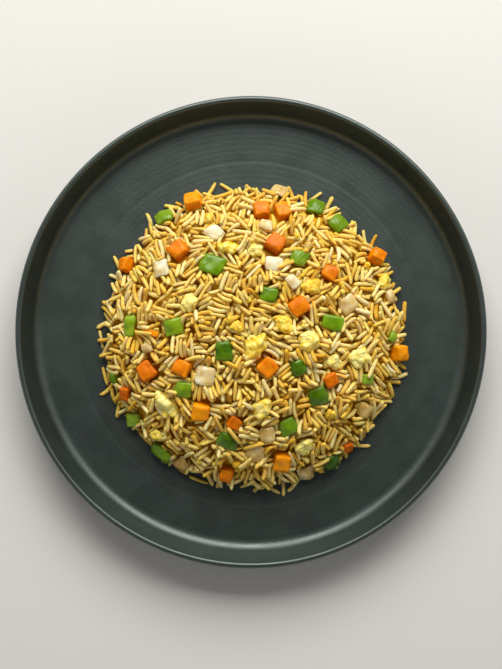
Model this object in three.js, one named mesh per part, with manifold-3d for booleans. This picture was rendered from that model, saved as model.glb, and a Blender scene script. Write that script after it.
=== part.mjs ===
// Fried rice on a round stoneware plate: a plate with a low upright rim, a dome of loose rice heaped on it,
// and diced carrot, green pepper, onion and scrambled egg lying half sunk in the rice.
// Millimetres. +Z is up. The origin is under the plate's centre, on the surface that its foot ring stands on.
import * as THREE from "three";
import { mergeVertices } from "three/addons/utils/BufferGeometryUtils.js";
import Module from "manifold-3d";

// Plate: a lathe profile, from the underside's centre round the rim to the floor's centre.
const PLATE_SEGMENTS = 48;
const UNDERSIDE_Z = 2;
const FLOOR_Z = 6.5;
const FOOT_INNER_RADIUS = 83;
const FOOT_OUTER_RADIUS = 91;
const FOOT_BEVEL = 1.5;
const HEEL_Z = 2.6;
const OUTER_CORNER_AT = 119;
const OUTER_CORNER_RADIUS = 14.5;
const OUTER_LEAN_DEG = 15;
const INNER_CORNER_AT = 121.8;
const INNER_CORNER_RADIUS = 6.6;
const INNER_LEAN_DEG = 17;
const LIP_AT = 133.3;
const LIP_Z = 22.3;
const LIP_ROUNDING = 1.7;

// Rice mound: a dome on a round base, a little off the plate's centre.
const MOUND_X = 1.2;
const MOUND_Y = -3.1;
const MOUND_RADIUS = 87;
const MOUND_HEIGHT = 33;
const DOME_FLATNESS = 2.3;
const DOME_FULLNESS = 0.74;
const CLEARANCE = 0.35;
const MOUND_BASE_Z = FLOOR_Z + CLEARANCE;
const THIN_SKIN = 1.5;

// Relief of the mound: a random domino tiling, each domino a ridge the size of a few grains lying together.
const CELL = 5.45;
const RIDGE_LIFT = [0.7, 1.7];
const VALLEY_DROP = 0.5;
const VERTEX_JITTER = 0.9;
const WARP = 5;
const WARP_WAVE = 0.07;
const OUTLINE_WAVE = 1.6;

// Grains of rice that lie loose on the mound and round its foot.
const GRAIN_LENGTH = [7.5, 10];
const GRAIN_RADIUS = 1.05;
const GRAIN_BEND = 0.7;
const GRAIN_SIDES = 5;
const TOP_GRAINS = 44;
const FOOT_GRAINS = 32;

// Toppings.
const PEPPER_THICKNESS = 3.8;
const ONION_THICKNESS = 2.6;
const EGG_THICKNESS = 6.5;
const DIE_JITTER = 0.55;
const SLAB_SAG = 1.3;
const EGG_LUMPS = 0.42;

// Where each topping lies, seen from above: x, y, turn in degrees, length, width.
const CARROTS = [
  [-33, 75.5, 5, 9, 8],
  [-41, 46.5, 40, 10, 9],
  [-72, 38.5, -8, 7.5, 8],
  [6, 69.5, 6, 9.5, 9],
  [18, 69, 18, 8, 9.5],
  [73, 44, -25, 8.5, 8],
  [14, 50, -36, 10, 9.5],
  [44.5, 33.5, -30, 8.5, 8],
  [27, 14.5, 36, 10.5, 10],
  [-58.5, -22, 35, 10, 10],
  [-38.5, -20, -25, 10, 9],
  [-28, -44.5, -8, 10, 9.5],
  [-9.5, -51, -35, 8, 7.5],
  [-14, -81.5, -12, 8, 8],
  [9.5, -19.5, 45, 10, 10],
  [86, -12, 8, 8, 9],
  [17.5, -74, -9, 9.5, 10.5],
];
const PEPPERS = [
  [-50.5, 66.5, 20, 11, 9],
  [-22, 38, -18, 14, 11],
  [-69.5, 3.5, 84, 13, 6.5],
  [-43.5, 3, 12, 11, 10],
  [37.5, 72.5, -16, 10.5, 9],
  [50.5, 63, 42, 11, 10],
  [27.5, 42, -20, 10.5, 9],
  [10, 21, -12, 10, 8],
  [46, 5.5, -14, 13, 8.5],
  [-15, -10.5, 1, 10.5, 10.5],
  [-38, -32, -14, 11, 9],
  [-68, -51, 4, 9, 8.5],
  [-13, -61.5, -18, 13, 9],
  [-52, -69.5, -36, 13, 7.5],
  [27, -20, 24, 9.5, 9],
  [38, -36, 18, 11.5, 10.5],
  [21.5, -53.5, 28, 10.5, 9.5],
  [46.5, -75, 14, 10, 9.5],
];
const ONIONS = [
  [-20.5, 57, 44, 9.5, 9],
  [-51, 36.5, 14, 9, 9.5],
  [16.5, 82, -24, 10, 9],
  [13, 38.5, -10, 11, 8.5],
  [55, 16, 38, 11, 10],
  [-25.5, -24.5, -14, 11.5, 11],
  [-40, -76.5, -48, 10, 9],
  [66, -45, -28, 11, 8.5],
  [9.5, -58, 10, 9, 9],
  [2.5, -68.5, -22, 11.5, 10],
  [32, -81.5, 8, 10.5, 9.5],
];
const EGGS = [
  [-12, 47.5, -12, 13, 9],
  [-34, 17, 65, 11.5, 8.5],
  [2.5, 46.5, 40, 10, 9],
  [34.5, 25.5, 22, 12.5, 9.5],
  [76.5, 29, 10, 10, 9],
  [2.5, -7.5, 68, 17, 12.5],
  [-48.5, -40.5, -55, 17, 9.5],
  [32, -6, 30, 16, 13.5],
  [46, -17, -10, 11.5, 9],
  [61.5, -14.5, 8, 14.5, 11],
  [30.5, -65.5, 30, 13, 8.5],
  [6.5, -42.5, 40, 13, 11],
];
// Small bits of topping, joined to the rice that they lie in: x, y, turn in degrees, length, width.
const SMALL_BITS = [
  [-72.5, -35.5, 80, 8, 6],
  [45, -27, 30, 8, 7],
  [56, -66.5, 10, 6, 6],
  [-79, -26.5, 75, 7, 5],
  [66.5, -26.5, 0, 7, 6.5],
  [81.5, -2.5, 60, 7, 5],
  [23.5, 28.5, 130, 8.5, 7],
  [80.5, 21, 110, 8, 6],
  [-58.5, -9, 20, 7, 6.5],
  [-25, 65, 15, 7, 6],
  [-7, -76, 0, 6.5, 6],
  [-8, 3, 10, 7, 6],
  [67, 37.5, 0, 6, 5.5],
  [-54, -59, 30, 7, 6],
  [44, -47, -20, 8, 6],
  [18.5, 4.5, -30, 11, 8],
  [9, 60.5, -20, 9.5, 7],
  [-56, -0.5, -10, 9, 4.5],
];

const wasm = await Module();
wasm.setup();

// A repeatable source of numbers from 0 to 1 (mulberry32).
function numberSource(seed) {
  let state = seed;
  return () => {
    state = (state + 0x6d2b79f5) | 0;
    let t = Math.imul(state ^ (state >>> 15), 1 | state);
    t = (t + Math.imul(t ^ (t >>> 7), 61 | t)) ^ t;
    return ((t ^ (t >>> 14)) >>> 0) / 4294967296;
  };
}
const between = (draw, low, high) => low + (high - low) * draw();
const radians = THREE.MathUtils.degToRad;

function toSolid(geometry) {
  const bare = geometry.clone();
  bare.deleteAttribute("normal");
  bare.deleteAttribute("uv");
  const merged = mergeVertices(bare, 1e-4);
  return new wasm.Manifold(
    new wasm.Mesh({
      numProp: 3,
      vertProperties: new Float32Array(merged.attributes.position.array),
      triVerts: new Uint32Array(merged.index.array),
    }),
  );
}

function toGeometry(solid) {
  const mesh = solid.getMesh();
  const geometry = new THREE.BufferGeometry();
  geometry.setAttribute("position", new THREE.BufferAttribute(mesh.vertProperties, 3));
  geometry.setIndex(new THREE.BufferAttribute(mesh.triVerts, 1));
  geometry.computeVertexNormals();
  return geometry;
}

// Plate

function arc(x, z, radius, fromDeg, toDeg, steps) {
  const points = [];
  for (let i = 0; i <= steps; i++) {
    const a = radians(fromDeg + ((toDeg - fromDeg) * i) / steps);
    points.push(new THREE.Vector2(x + radius * Math.cos(a), z + radius * Math.sin(a)));
  }
  return points;
}

function plateGeometry() {
  const profile = [
    new THREE.Vector2(0, UNDERSIDE_Z),
    new THREE.Vector2(FOOT_INNER_RADIUS, UNDERSIDE_Z),
    new THREE.Vector2(FOOT_INNER_RADIUS + FOOT_BEVEL, 0),
    new THREE.Vector2(FOOT_OUTER_RADIUS - FOOT_BEVEL, 0),
    new THREE.Vector2(FOOT_OUTER_RADIUS, UNDERSIDE_Z),
    ...arc(OUTER_CORNER_AT, HEEL_Z + OUTER_CORNER_RADIUS, OUTER_CORNER_RADIUS, -90, -OUTER_LEAN_DEG, 4),
    ...arc(LIP_AT, LIP_Z, LIP_ROUNDING, -OUTER_LEAN_DEG, 180 - INNER_LEAN_DEG, 4),
    ...arc(INNER_CORNER_AT, FLOOR_Z + INNER_CORNER_RADIUS, INNER_CORNER_RADIUS, -INNER_LEAN_DEG, -90, 4),
    new THREE.Vector2(0, FLOOR_Z),
  ];
  return new THREE.LatheGeometry(profile, PLATE_SEGMENTS).rotateX(Math.PI / 2);
}

// Dome of the rice

function domeHeight(radius) {
  const share = Math.min(radius / MOUND_RADIUS, 1);
  return MOUND_HEIGHT * Math.pow(1 - Math.pow(share, DOME_FLATNESS), DOME_FULLNESS);
}

// Lengths along the dome's slope from its top, at even steps of radius.
const SLOPE_STEPS = 600;
const slopeLengths = [0];
for (let i = 1; i <= SLOPE_STEPS; i++) {
  const outer = (MOUND_RADIUS * i) / SLOPE_STEPS;
  const inner = (MOUND_RADIUS * (i - 1)) / SLOPE_STEPS;
  const rise = domeHeight(inner) - domeHeight(outer);
  slopeLengths.push(slopeLengths[i - 1] + Math.hypot(outer - inner, rise));
}
const SLOPE_LENGTH = slopeLengths[SLOPE_STEPS];

function radiusAt(slopeLength) {
  const next = slopeLengths.findIndex((length) => length >= slopeLength);
  if (next <= 0) return next === 0 ? 0 : MOUND_RADIUS;
  const share = (slopeLength - slopeLengths[next - 1]) / (slopeLengths[next] - slopeLengths[next - 1]);
  return (MOUND_RADIUS * (next - 1 + share)) / SLOPE_STEPS;
}

const aroundMound = (radius, angle, z) =>
  new THREE.Vector3(MOUND_X + radius * Math.cos(angle), MOUND_Y + radius * Math.sin(angle), z);

// Outward normal of the dome at a point seen from above.
function domeNormal(x, y) {
  const step = 0.5;
  const radius = Math.min(Math.hypot(x - MOUND_X, y - MOUND_Y), MOUND_RADIUS - 2 * step);
  const slope = (domeHeight(radius + step) - domeHeight(Math.max(radius - step, 0))) / (2 * step);
  const angle = Math.atan2(y - MOUND_Y, x - MOUND_X);
  return new THREE.Vector3(-slope * Math.cos(angle), -slope * Math.sin(angle), 1).normalize();
}

function domePoint(slopeLength, angle, lift) {
  const radius = radiusAt(slopeLength);
  const point = aroundMound(radius, angle, MOUND_BASE_Z + domeHeight(radius));
  return point.addScaledVector(domeNormal(point.x, point.y), lift);
}

// Partner of each cell in a random domino tiling of a square: an even grid of level dominoes, then random
// pairs of neighbouring dominoes turned by a quarter.
function dominoPartners(cells, draw) {
  const partner = Array.from({ length: cells }, (_, i) =>
    Array.from({ length: cells }, () => (i % 2 === 0 ? [1, 0] : [-1, 0])),
  );
  const is = (i, j, a, b) => partner[i][j][0] === a && partner[i][j][1] === b;
  for (let n = 0; n < cells * cells * 30; n++) {
    const i = Math.floor(draw() * (cells - 1));
    const j = Math.floor(draw() * (cells - 1));
    if (is(i, j, 1, 0) && is(i, j + 1, 1, 0)) {
      partner[i][j] = partner[i + 1][j] = [0, 1];
      partner[i][j + 1] = partner[i + 1][j + 1] = [0, -1];
    } else if (is(i, j, 0, 1) && is(i + 1, j, 0, 1)) {
      partner[i][j] = partner[i][j + 1] = [1, 0];
      partner[i + 1][j] = partner[i + 1][j + 1] = [-1, 0];
    }
  }
  return partner;
}

// The mound's skin: every cell of the tiling has a peak, the two peaks of a domino are joined by a ridge, and
// the cells' corners are the valleys. Corners on the tiling's edge stand on the base.
function moundSolid(seed) {
  const draw = numberSource(seed);
  const cells = 2 * Math.ceil((SLOPE_LENGTH + WARP) / CELL + 1);
  const partner = dominoPartners(cells, draw);
  const warped = (i, j) => {
    const x = (i - cells / 2) * CELL;
    const y = (j - cells / 2) * CELL;
    const fade = Math.max(0, 1 - (x * x + y * y) / (SLOPE_LENGTH * SLOPE_LENGTH));
    return new THREE.Vector2(
      x + WARP * fade * Math.sin(WARP_WAVE * y + 1.3),
      y + WARP * fade * Math.sin(WARP_WAVE * x + 4.1),
    );
  };
  const onTiling = (i) => i >= 0 && i < cells;
  const farthest = SLOPE_LENGTH - CELL * 0.3;
  const inside = (i, j) => onTiling(i) && onTiling(j) && warped(i + 0.5, j + 0.5).length() < farthest;

  const positions = [];
  const add = (point) => positions.push(point.x, point.y, point.z) / 3 - 1;
  const corners = new Map();
  const edgePoints = new Map();
  const corner = (i, j) => {
    const key = i * 1000 + j;
    if (corners.has(key)) return corners.get(key);
    const flat = warped(i, j);
    const angle = Math.atan2(flat.y, flat.x);
    const onEdge = ![inside(i, j), inside(i - 1, j), inside(i, j - 1), inside(i - 1, j - 1)].every(Boolean);
    let point;
    if (onEdge) {
      const wave = OUTLINE_WAVE * (Math.sin(5 * angle) * 0.4 + between(draw, -1, 1));
      const radius = MOUND_RADIUS + wave;
      point = aroundMound(radius, angle, MOUND_BASE_Z);
    } else {
      flat.x += between(draw, -VERTEX_JITTER, VERTEX_JITTER);
      flat.y += between(draw, -VERTEX_JITTER, VERTEX_JITTER);
      point = domePoint(Math.min(flat.length(), SLOPE_LENGTH - 1), Math.atan2(flat.y, flat.x), -VALLEY_DROP);
      point.z = Math.max(point.z, MOUND_BASE_Z + 0.8);
    }
    const index = add(point);
    corners.set(key, index);
    if (onEdge) edgePoints.set(index, point);
    return index;
  };
  const peak = (i, j) => {
    const flat = warped(i + 0.5, j + 0.5);
    flat.x += between(draw, -VERTEX_JITTER, VERTEX_JITTER) / 2;
    flat.y += between(draw, -VERTEX_JITTER, VERTEX_JITTER) / 2;
    const reach = Math.min(flat.length(), SLOPE_LENGTH - CELL * 0.35);
    const point = domePoint(reach, Math.atan2(flat.y, flat.x), between(draw, ...RIDGE_LIFT));
    point.z = Math.max(point.z, MOUND_BASE_Z + 1.2);
    return add(point);
  };

  const peaks = new Map();
  for (let i = 0; i < cells; i++) {
    for (let j = 0; j < cells; j++) if (inside(i, j)) peaks.set(i * 1000 + j, peak(i, j));
  }
  // The four sides of a cell: the neighbour across it, then its two corners, anticlockwise.
  const sides = [
    [[0, -1], [0, 0], [1, 0]],
    [[1, 0], [1, 0], [1, 1]],
    [[0, 1], [1, 1], [0, 1]],
    [[-1, 0], [0, 1], [0, 0]],
  ];
  const faces = [];
  const edgeAfter = new Map();
  for (const [key, own] of peaks) {
    const i = Math.floor(key / 1000);
    const j = key % 1000;
    for (const [[di, dj], [ai, aj], [bi, bj]] of sides) {
      const a = corner(i + ai, j + aj);
      const b = corner(i + bi, j + bj);
      const mate = peaks.get((i + di) * 1000 + j + dj);
      const joined = mate !== undefined && partner[i][j][0] === di && partner[i][j][1] === dj;
      if (joined) faces.push(own, a, mate);
      else faces.push(own, a, b);
      if (mate === undefined) edgeAfter.set(a, b);
    }
  }
  // The base closes the skin with one flat polygon along its edge.
  const loop = [];
  let at = edgeAfter.keys().next().value;
  do {
    loop.push(at);
    at = edgeAfter.get(at);
  } while (at !== loop[0] && loop.length <= edgeAfter.size);
  const outline = loop.map((index) => new THREE.Vector2(edgePoints.get(index).x, edgePoints.get(index).y));
  for (const [a, b, c] of THREE.ShapeUtils.triangulateShape(outline, [])) {
    faces.push(loop[a], loop[c], loop[b]);
  }
  const geometry = new THREE.BufferGeometry();
  geometry.setAttribute("position", new THREE.Float32BufferAttribute(positions, 3));
  geometry.setIndex(faces);
  return toSolid(geometry);
}

// Toppings, each round its own centre with its broad face up

function dieGeometry(length, width, seed) {
  const draw = numberSource(seed);
  const height = (length + width) / 2;
  const geometry = new THREE.BoxGeometry(length, width, height);
  geometry.deleteAttribute("normal");
  geometry.deleteAttribute("uv");
  const merged = mergeVertices(geometry);
  const place = merged.attributes.position;
  for (let i = 0; i < place.count; i++) {
    const corner = new THREE.Vector3().fromBufferAttribute(place, i);
    corner.x += between(draw, -DIE_JITTER, DIE_JITTER);
    corner.y += between(draw, -DIE_JITTER, DIE_JITTER);
    corner.z += between(draw, -DIE_JITTER, DIE_JITTER);
    place.setXYZ(i, corner.x, corner.y, corner.z);
  }
  return merged;
}

// A slab cut from a curved wall: it sags to one side across its length.
function slabGeometry(length, width, thickness, seed) {
  const draw = numberSource(seed);
  const skew = between(draw, -0.12, 0.12);
  const taper = between(draw, -0.14, 0.14);
  const geometry = new THREE.BoxGeometry(length, width, thickness, 2, 1, 1);
  geometry.deleteAttribute("normal");
  geometry.deleteAttribute("uv");
  const merged = mergeVertices(geometry);
  const place = merged.attributes.position;
  for (let i = 0; i < place.count; i++) {
    const across = place.getX(i) / length;
    const along = place.getY(i) / width;
    const x = place.getX(i) * (1 + taper * along) + skew * place.getY(i);
    const sag = SLAB_SAG * (4 * across * across - 0.5);
    place.setXYZ(i, x, place.getY(i), place.getZ(i) - sag);
  }
  return merged;
}

// A curd of egg: a flattened ball with lumps and folds.
function curdGeometry(length, width, thickness, seed) {
  const draw = numberSource(seed);
  const lumps = Array.from({ length: 6 }, (_, n) => ({
    towards: new THREE.Vector3(between(draw, -1, 1), between(draw, -1, 1), between(draw, -0.3, 0.9)),
    size: (n % 2 ? -0.75 : 1) * between(draw, 0.5, 1) * EGG_LUMPS,
  }));
  lumps.forEach((lump) => lump.towards.normalize());
  const ball = new THREE.IcosahedronGeometry(1, 1);
  ball.deleteAttribute("normal");
  ball.deleteAttribute("uv");
  const merged = mergeVertices(ball);
  const place = merged.attributes.position;
  for (let i = 0; i < place.count; i++) {
    const out = new THREE.Vector3().fromBufferAttribute(place, i).normalize();
    let reach = 1;
    for (const lump of lumps) reach += lump.size * Math.exp(-7 * (1 - out.dot(lump.towards)));
    place.setXYZ(i, out.x * reach, out.y * reach, out.z * reach);
  }
  merged.computeBoundingBox();
  const size = merged.boundingBox.getSize(new THREE.Vector3());
  merged.center().scale(length / size.x, width / size.y, thickness / size.z);
  return merged;
}

// The hollow that a topping lies in: an upright prism round it with CLEARANCE on every side, open through the
// top of the mound. A hollow that comes near the base goes through it.
function hollowGeometry(bare, sides, top, baseDepth) {
  const place = bare.attributes.position;
  const pointAt = (_, i) => new THREE.Vector3().fromBufferAttribute(place, i);
  const points = Array.from({ length: place.count }, pointAt);
  const bottom = Math.min(...points.map((point) => point.z)) - CLEARANCE;
  const facing = Array.from({ length: sides }, (_, k) => (2 * Math.PI * k) / sides);
  const reach = facing.map(
    (a) => Math.max(...points.map((point) => point.x * Math.cos(a) + point.y * Math.sin(a))) + CLEARANCE,
  );
  const corners = facing.map((a, k) => {
    const next = reach[(k + 1) % sides];
    const turn = (2 * Math.PI) / sides;
    const along = (next - reach[k] * Math.cos(turn)) / Math.sin(turn);
    return new THREE.Vector2(
      reach[k] * Math.cos(a) - along * Math.sin(a),
      reach[k] * Math.sin(a) + along * Math.cos(a),
    );
  });
  const floor = baseDepth(bottom);
  const options = { depth: top - floor, bevelEnabled: false };
  return new THREE.ExtrudeGeometry(new THREE.Shape(corners), options).translate(0, 0, floor);
}

// Spindle along X with pointed ends, bent a little to one side.
function grainGeometry(length) {
  const profile = [
    new THREE.Vector2(0, -length / 2),
    new THREE.Vector2(GRAIN_RADIUS, -length * 0.24),
    new THREE.Vector2(GRAIN_RADIUS, length * 0.24),
    new THREE.Vector2(0, length / 2),
  ];
  const geometry = new THREE.LatheGeometry(profile, GRAIN_SIDES).rotateZ(-Math.PI / 2);
  const place = geometry.attributes.position;
  for (let i = 0; i < place.count; i++) {
    const share = (2 * place.getX(i)) / length;
    place.setY(i, place.getY(i) + GRAIN_BEND * share * share);
  }
  return geometry;
}

// Turns +Z towards the dome's normal, eased towards upright, then leans it by a few degrees of its own.
function layOnDome(x, y, turnDeg, ease, leanDeg, draw) {
  const up = domeNormal(x, y).lerp(new THREE.Vector3(0, 0, 1), ease).normalize();
  const lay = new THREE.Quaternion().setFromUnitVectors(new THREE.Vector3(0, 0, 1), up);
  const turn = new THREE.Quaternion().setFromAxisAngle(new THREE.Vector3(0, 0, 1), radians(turnDeg));
  const leanAxis = new THREE.Vector3(Math.cos(draw() * 6.28), Math.sin(draw() * 6.28), 0).normalize();
  const lean = new THREE.Quaternion().setFromAxisAngle(leanAxis, radians(between(draw, -leanDeg, leanDeg)));
  return lay.multiply(lean).multiply(turn);
}

function lowestZ(geometry, turn) {
  const place = geometry.attributes.position;
  let lowest = Infinity;
  for (let i = 0; i < place.count; i++) {
    lowest = Math.min(lowest, new THREE.Vector3().fromBufferAttribute(place, i).applyQuaternion(turn).z);
  }
  return lowest;
}

const pepperGeometry = (length, width, seed) => slabGeometry(length, width, PEPPER_THICKNESS, seed);
const onionGeometry = (length, width, seed) => slabGeometry(length, width, ONION_THICKNESS, seed);
const eggGeometry = (length, width, seed) => curdGeometry(length, width, EGG_THICKNESS, seed);

// Kinds of topping: how far the centre rises over the dome, how far it may lean and the hollow's walls.
const KINDS = {
  carrot: { colour: 0xe8751a, rise: -0.9, lean: 12, walls: 4, shape: dieGeometry },
  pepper: { colour: 0x3f8f2c, rise: 0.4, lean: 14, walls: 4, shape: pepperGeometry },
  onion: { colour: 0xe6dcc0, rise: 0.6, lean: 12, walls: 4, shape: onionGeometry },
  egg: { colour: 0xf2d468, rise: 0.6, lean: 8, walls: 6, shape: eggGeometry },
};

function placeTopping(kind, [x, y, turnDeg, length, width], seed) {
  const draw = numberSource(seed);
  const { rise, lean, walls, shape } = KINDS[kind];
  const turn = layOnDome(x, y, turnDeg, 0.35, lean, draw);
  const bare = shape(length, width, seed);
  const surface = MOUND_BASE_Z + domeHeight(Math.hypot(x - MOUND_X, y - MOUND_Y));
  const height = Math.max(surface + rise, FLOOR_Z + 2 * CLEARANCE - lowestZ(bare, turn));
  const nearBase = height + lowestZ(bare, turn) < MOUND_BASE_Z + THIN_SKIN;
  const floorOf = (bottom) => (nearBase ? bottom - THIN_SKIN * 2 : bottom);
  const hollow = hollowGeometry(bare, walls, length, floorOf);
  return { kind, turn, bare, hollow, at: new THREE.Vector3(x, y, height) };
}

function moved(geometry, turn, at) {
  return geometry.clone().applyQuaternion(turn).translate(at.x, at.y, at.z);
}

// Loose grains: an even spiral over the dome, then a ring round its foot. Those that would touch a topping
// are left out.
function looseGrains(toppings, seed) {
  const draw = numberSource(seed);
  const clear = (at, reach) => toppings.every((topping) => topping.at.distanceTo(at) > reach + 5.5);
  const grains = [];
  const golden = Math.PI * (3 - Math.sqrt(5));
  for (let n = 0; n < TOP_GRAINS * 2 && grains.length < TOP_GRAINS; n++) {
    const slopeLength = SLOPE_LENGTH * 0.93 * Math.sqrt((n + 0.5) / (TOP_GRAINS * 2));
    const length = between(draw, ...GRAIN_LENGTH);
    const at = domePoint(slopeLength, n * golden, RIDGE_LIFT[1]);
    const turn = layOnDome(at.x, at.y, between(draw, 0, 180), 0, 8, draw);
    if (clear(at, length / 2)) grains.push(moved(grainGeometry(length), turn, at));
  }
  for (let n = 0; n < FOOT_GRAINS; n++) {
    const angle = ((n + between(draw, -0.3, 0.3)) / FOOT_GRAINS) * 2 * Math.PI;
    const length = between(draw, ...GRAIN_LENGTH);
    const at = aroundMound(MOUND_RADIUS + between(draw, -0.5, 1.5), angle, MOUND_BASE_Z + GRAIN_RADIUS);
    const heading = angle + between(draw, -0.9, 0.9);
    const turn = new THREE.Quaternion().setFromAxisAngle(new THREE.Vector3(0, 0, 1), heading);
    if (clear(at, length / 2)) grains.push(moved(grainGeometry(length), turn, at));
  }
  return grains;
}

// The largest piece of a solid, so that scraps left by a cut are dropped.
function largestOf(solid) {
  return solid.decompose().reduce((best, piece) => (piece.volume() > best.volume() ? piece : best));
}

function material(colour, roughness) {
  return new THREE.MeshStandardMaterial({ color: colour, roughness, metalness: 0 });
}

const toppings = [];
for (const [kind, layout] of Object.entries({ carrot: CARROTS, pepper: PEPPERS, onion: ONIONS, egg: EGGS })) {
  layout.forEach((row, i) => toppings.push(placeTopping(kind, row, 101 + toppings.length * 7 + i)));
}

const smallBits = SMALL_BITS.map(([x, y, turnDeg, length, width], i) => {
  const draw = numberSource(900 + i);
  const turn = layOnDome(x, y, turnDeg, 0.2, 12, draw);
  const height = MOUND_BASE_Z + domeHeight(Math.hypot(x - MOUND_X, y - MOUND_Y)) + 1;
  const bit = dieGeometry(length, width, 900 + i).scale(1, 1, 0.6);
  const lift = Math.max(height, MOUND_BASE_Z - lowestZ(bit, turn));
  return moved(bit, turn, new THREE.Vector3(x, y, lift));
});

const hollows = toppings.map((topping) => toSolid(moved(topping.hollow, topping.turn, topping.at)));
const rice = [moundSolid(7), ...looseGrains(toppings, 11).map(toSolid), ...smallBits.map(toSolid)];
const mound = largestOf(wasm.Manifold.union(rice).subtract(wasm.Manifold.union(hollows)));

const friedRicePlate = new THREE.Group();

const plate = new THREE.Mesh(plateGeometry(), material(0x33383a, 0.5));
plate.name = "plate";
friedRicePlate.add(plate);

const moundMesh = new THREE.Mesh(toGeometry(mound), material(0xd9b56c, 0.6));
moundMesh.name = "rice_mound";
friedRicePlate.add(moundMesh);

const counts = {};
for (const { kind, turn, bare, at } of toppings) {
  counts[kind] = (counts[kind] ?? 0) + 1;
  const mesh = new THREE.Mesh(bare, material(KINDS[kind].colour, 0.4));
  mesh.name = `${kind}_${String(counts[kind]).padStart(2, "0")}`;
  mesh.quaternion.copy(turn);
  mesh.position.copy(at);
  friedRicePlate.add(mesh);
}

export default friedRicePlate;
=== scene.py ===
"""Fried rice on a dark stoneware plate.

The plate is a thrown, glazed disc with a low upright rim. On it lies a dome of loose long grains, laid one on
another, with diced carrot, green pepper, onion and curds of scrambled egg half sunk among them.
"""

import logging
import math
from dataclasses import dataclass, field
from enum import Enum
from functools import cached_property
from typing import Any, NamedTuple

import bmesh
import bpy
import numpy as np
from mathutils import Matrix, Vector, noise
from mathutils.bvhtree import BVHTree


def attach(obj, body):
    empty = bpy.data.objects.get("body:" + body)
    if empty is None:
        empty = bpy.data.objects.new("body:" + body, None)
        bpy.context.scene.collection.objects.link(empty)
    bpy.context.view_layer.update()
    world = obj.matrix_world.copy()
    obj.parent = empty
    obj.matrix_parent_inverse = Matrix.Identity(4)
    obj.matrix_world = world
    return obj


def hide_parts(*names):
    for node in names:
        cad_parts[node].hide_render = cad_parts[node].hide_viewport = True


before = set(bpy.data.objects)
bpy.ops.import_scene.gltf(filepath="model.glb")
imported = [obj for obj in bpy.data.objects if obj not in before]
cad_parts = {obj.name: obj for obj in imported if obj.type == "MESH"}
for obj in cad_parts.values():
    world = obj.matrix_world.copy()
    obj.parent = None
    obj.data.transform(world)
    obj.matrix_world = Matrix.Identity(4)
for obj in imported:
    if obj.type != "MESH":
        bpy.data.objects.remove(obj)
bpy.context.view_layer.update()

LOG = logging.getLogger("fried_rice")
MM = 0.001
BODY = "root"

Colour = tuple[float, float, float, float]
Screen = tuple[int, int, int]
Span = tuple[float, float]
Socket = bpy.types.NodeSocket


class Slot(Enum):
    """Material slots of the record. Each kind of topping has one of its own."""

    STONEWARE = "stoneware"
    RICE = "rice"
    CARROT = "carrot"
    PEPPER = "pepper"
    ONION = "onion"
    EGG = "egg"


def screen_colour(red: int, green: int, blue: int) -> Colour:
    """Turns a colour given in screen values from 0 to 255 into linear light, by the sRGB curve.

    Args:
        red: Red value.
        green: Green value.
        blue: Blue value.

    Returns:
        The linear colour with an alpha of 1.
    """
    shares = (value / 255 for value in (red, green, blue))
    linear = [s / 12.92 if s <= 0.04045 else ((s + 0.055) / 1.055) ** 2.4 for s in shares]
    return (*linear, 1.0)


# Meshes


@dataclass
class Surface:
    """Points, faces and per-point values of a mesh before it becomes an object. Points are in millimetres."""

    points: np.ndarray
    faces: list
    floats: dict[str, np.ndarray] = field(default_factory=dict)
    vectors: dict[str, np.ndarray] = field(default_factory=dict)

    def to_object(self, name: str) -> bpy.types.Object:
        """Makes a smooth-shaded mesh object of the surface.

        Args:
            name: Name of the piece.

        Returns:
            The object, linked to the scene, in metres.
        """
        mesh = bpy.data.meshes.new(name)
        mesh.from_pydata((self.points * MM).tolist(), [], self.faces)
        mesh.polygons.foreach_set("use_smooth", np.ones(len(mesh.polygons), bool))
        for key, values in self.floats.items():
            mesh.attributes.new(key, "FLOAT", "POINT").data.foreach_set("value", values.astype(np.float32))
        for key, values in self.vectors.items():
            layer = mesh.attributes.new(key, "FLOAT_VECTOR", "POINT")
            layer.data.foreach_set("vector", values.astype(np.float32).ravel())
        mesh.update()
        piece = bpy.data.objects.new(name, mesh)
        bpy.context.scene.collection.objects.link(piece)
        return piece


def join(surfaces: list[Surface]) -> Surface:
    """Joins surfaces that carry the same values.

    Args:
        surfaces: The surfaces, at least one.

    Returns:
        One surface with all their points and faces.
    """
    faces: list = []
    start = 0
    for part in surfaces:
        faces.extend([tuple(i + start for i in face) for face in part.faces])
        start += len(part.points)
    first = surfaces[0]
    return Surface(
        np.concatenate([part.points for part in surfaces]),
        faces,
        {key: np.concatenate([part.floats[key] for part in surfaces]) for key in first.floats},
        {key: np.concatenate([part.vectors[key] for part in surfaces]) for key in first.vectors},
    )


def lathe_faces(rings: int, turns: int) -> list[tuple[int, ...]]:
    """Faces of rings of points, closed by a point before the first ring and one after the last.

    Args:
        rings: Number of rings.
        turns: Points in a ring.

    Returns:
        Faces that point outward where the rings run from the underside to the top.
    """
    first, last = rings * turns, rings * turns + 1
    faces: list[tuple[int, ...]] = []
    for t in range(turns):
        n = (t + 1) % turns
        faces.append((first, n, t))
        for k in range(rings - 1):
            low, high = k * turns, (k + 1) * turns
            faces.append((low + t, low + n, high + n, high + t))
        top = (rings - 1) * turns
        faces.append((last, top + t, top + n))
    return faces


def settle(piece: bpy.types.Object, finish: bpy.types.Material, node: str) -> None:
    """Gives a piece its finish and its place in the frame.

    Args:
        piece: The finished mesh object.
        finish: Its material.
        node: The node that it stands for.
    """
    piece.data.materials.append(finish)
    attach(piece, BODY)
    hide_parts(node)
    LOG.info("%s: %d faces, stands for %s", piece.name, len(piece.data.polygons), node)


# Shader graphs


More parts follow.
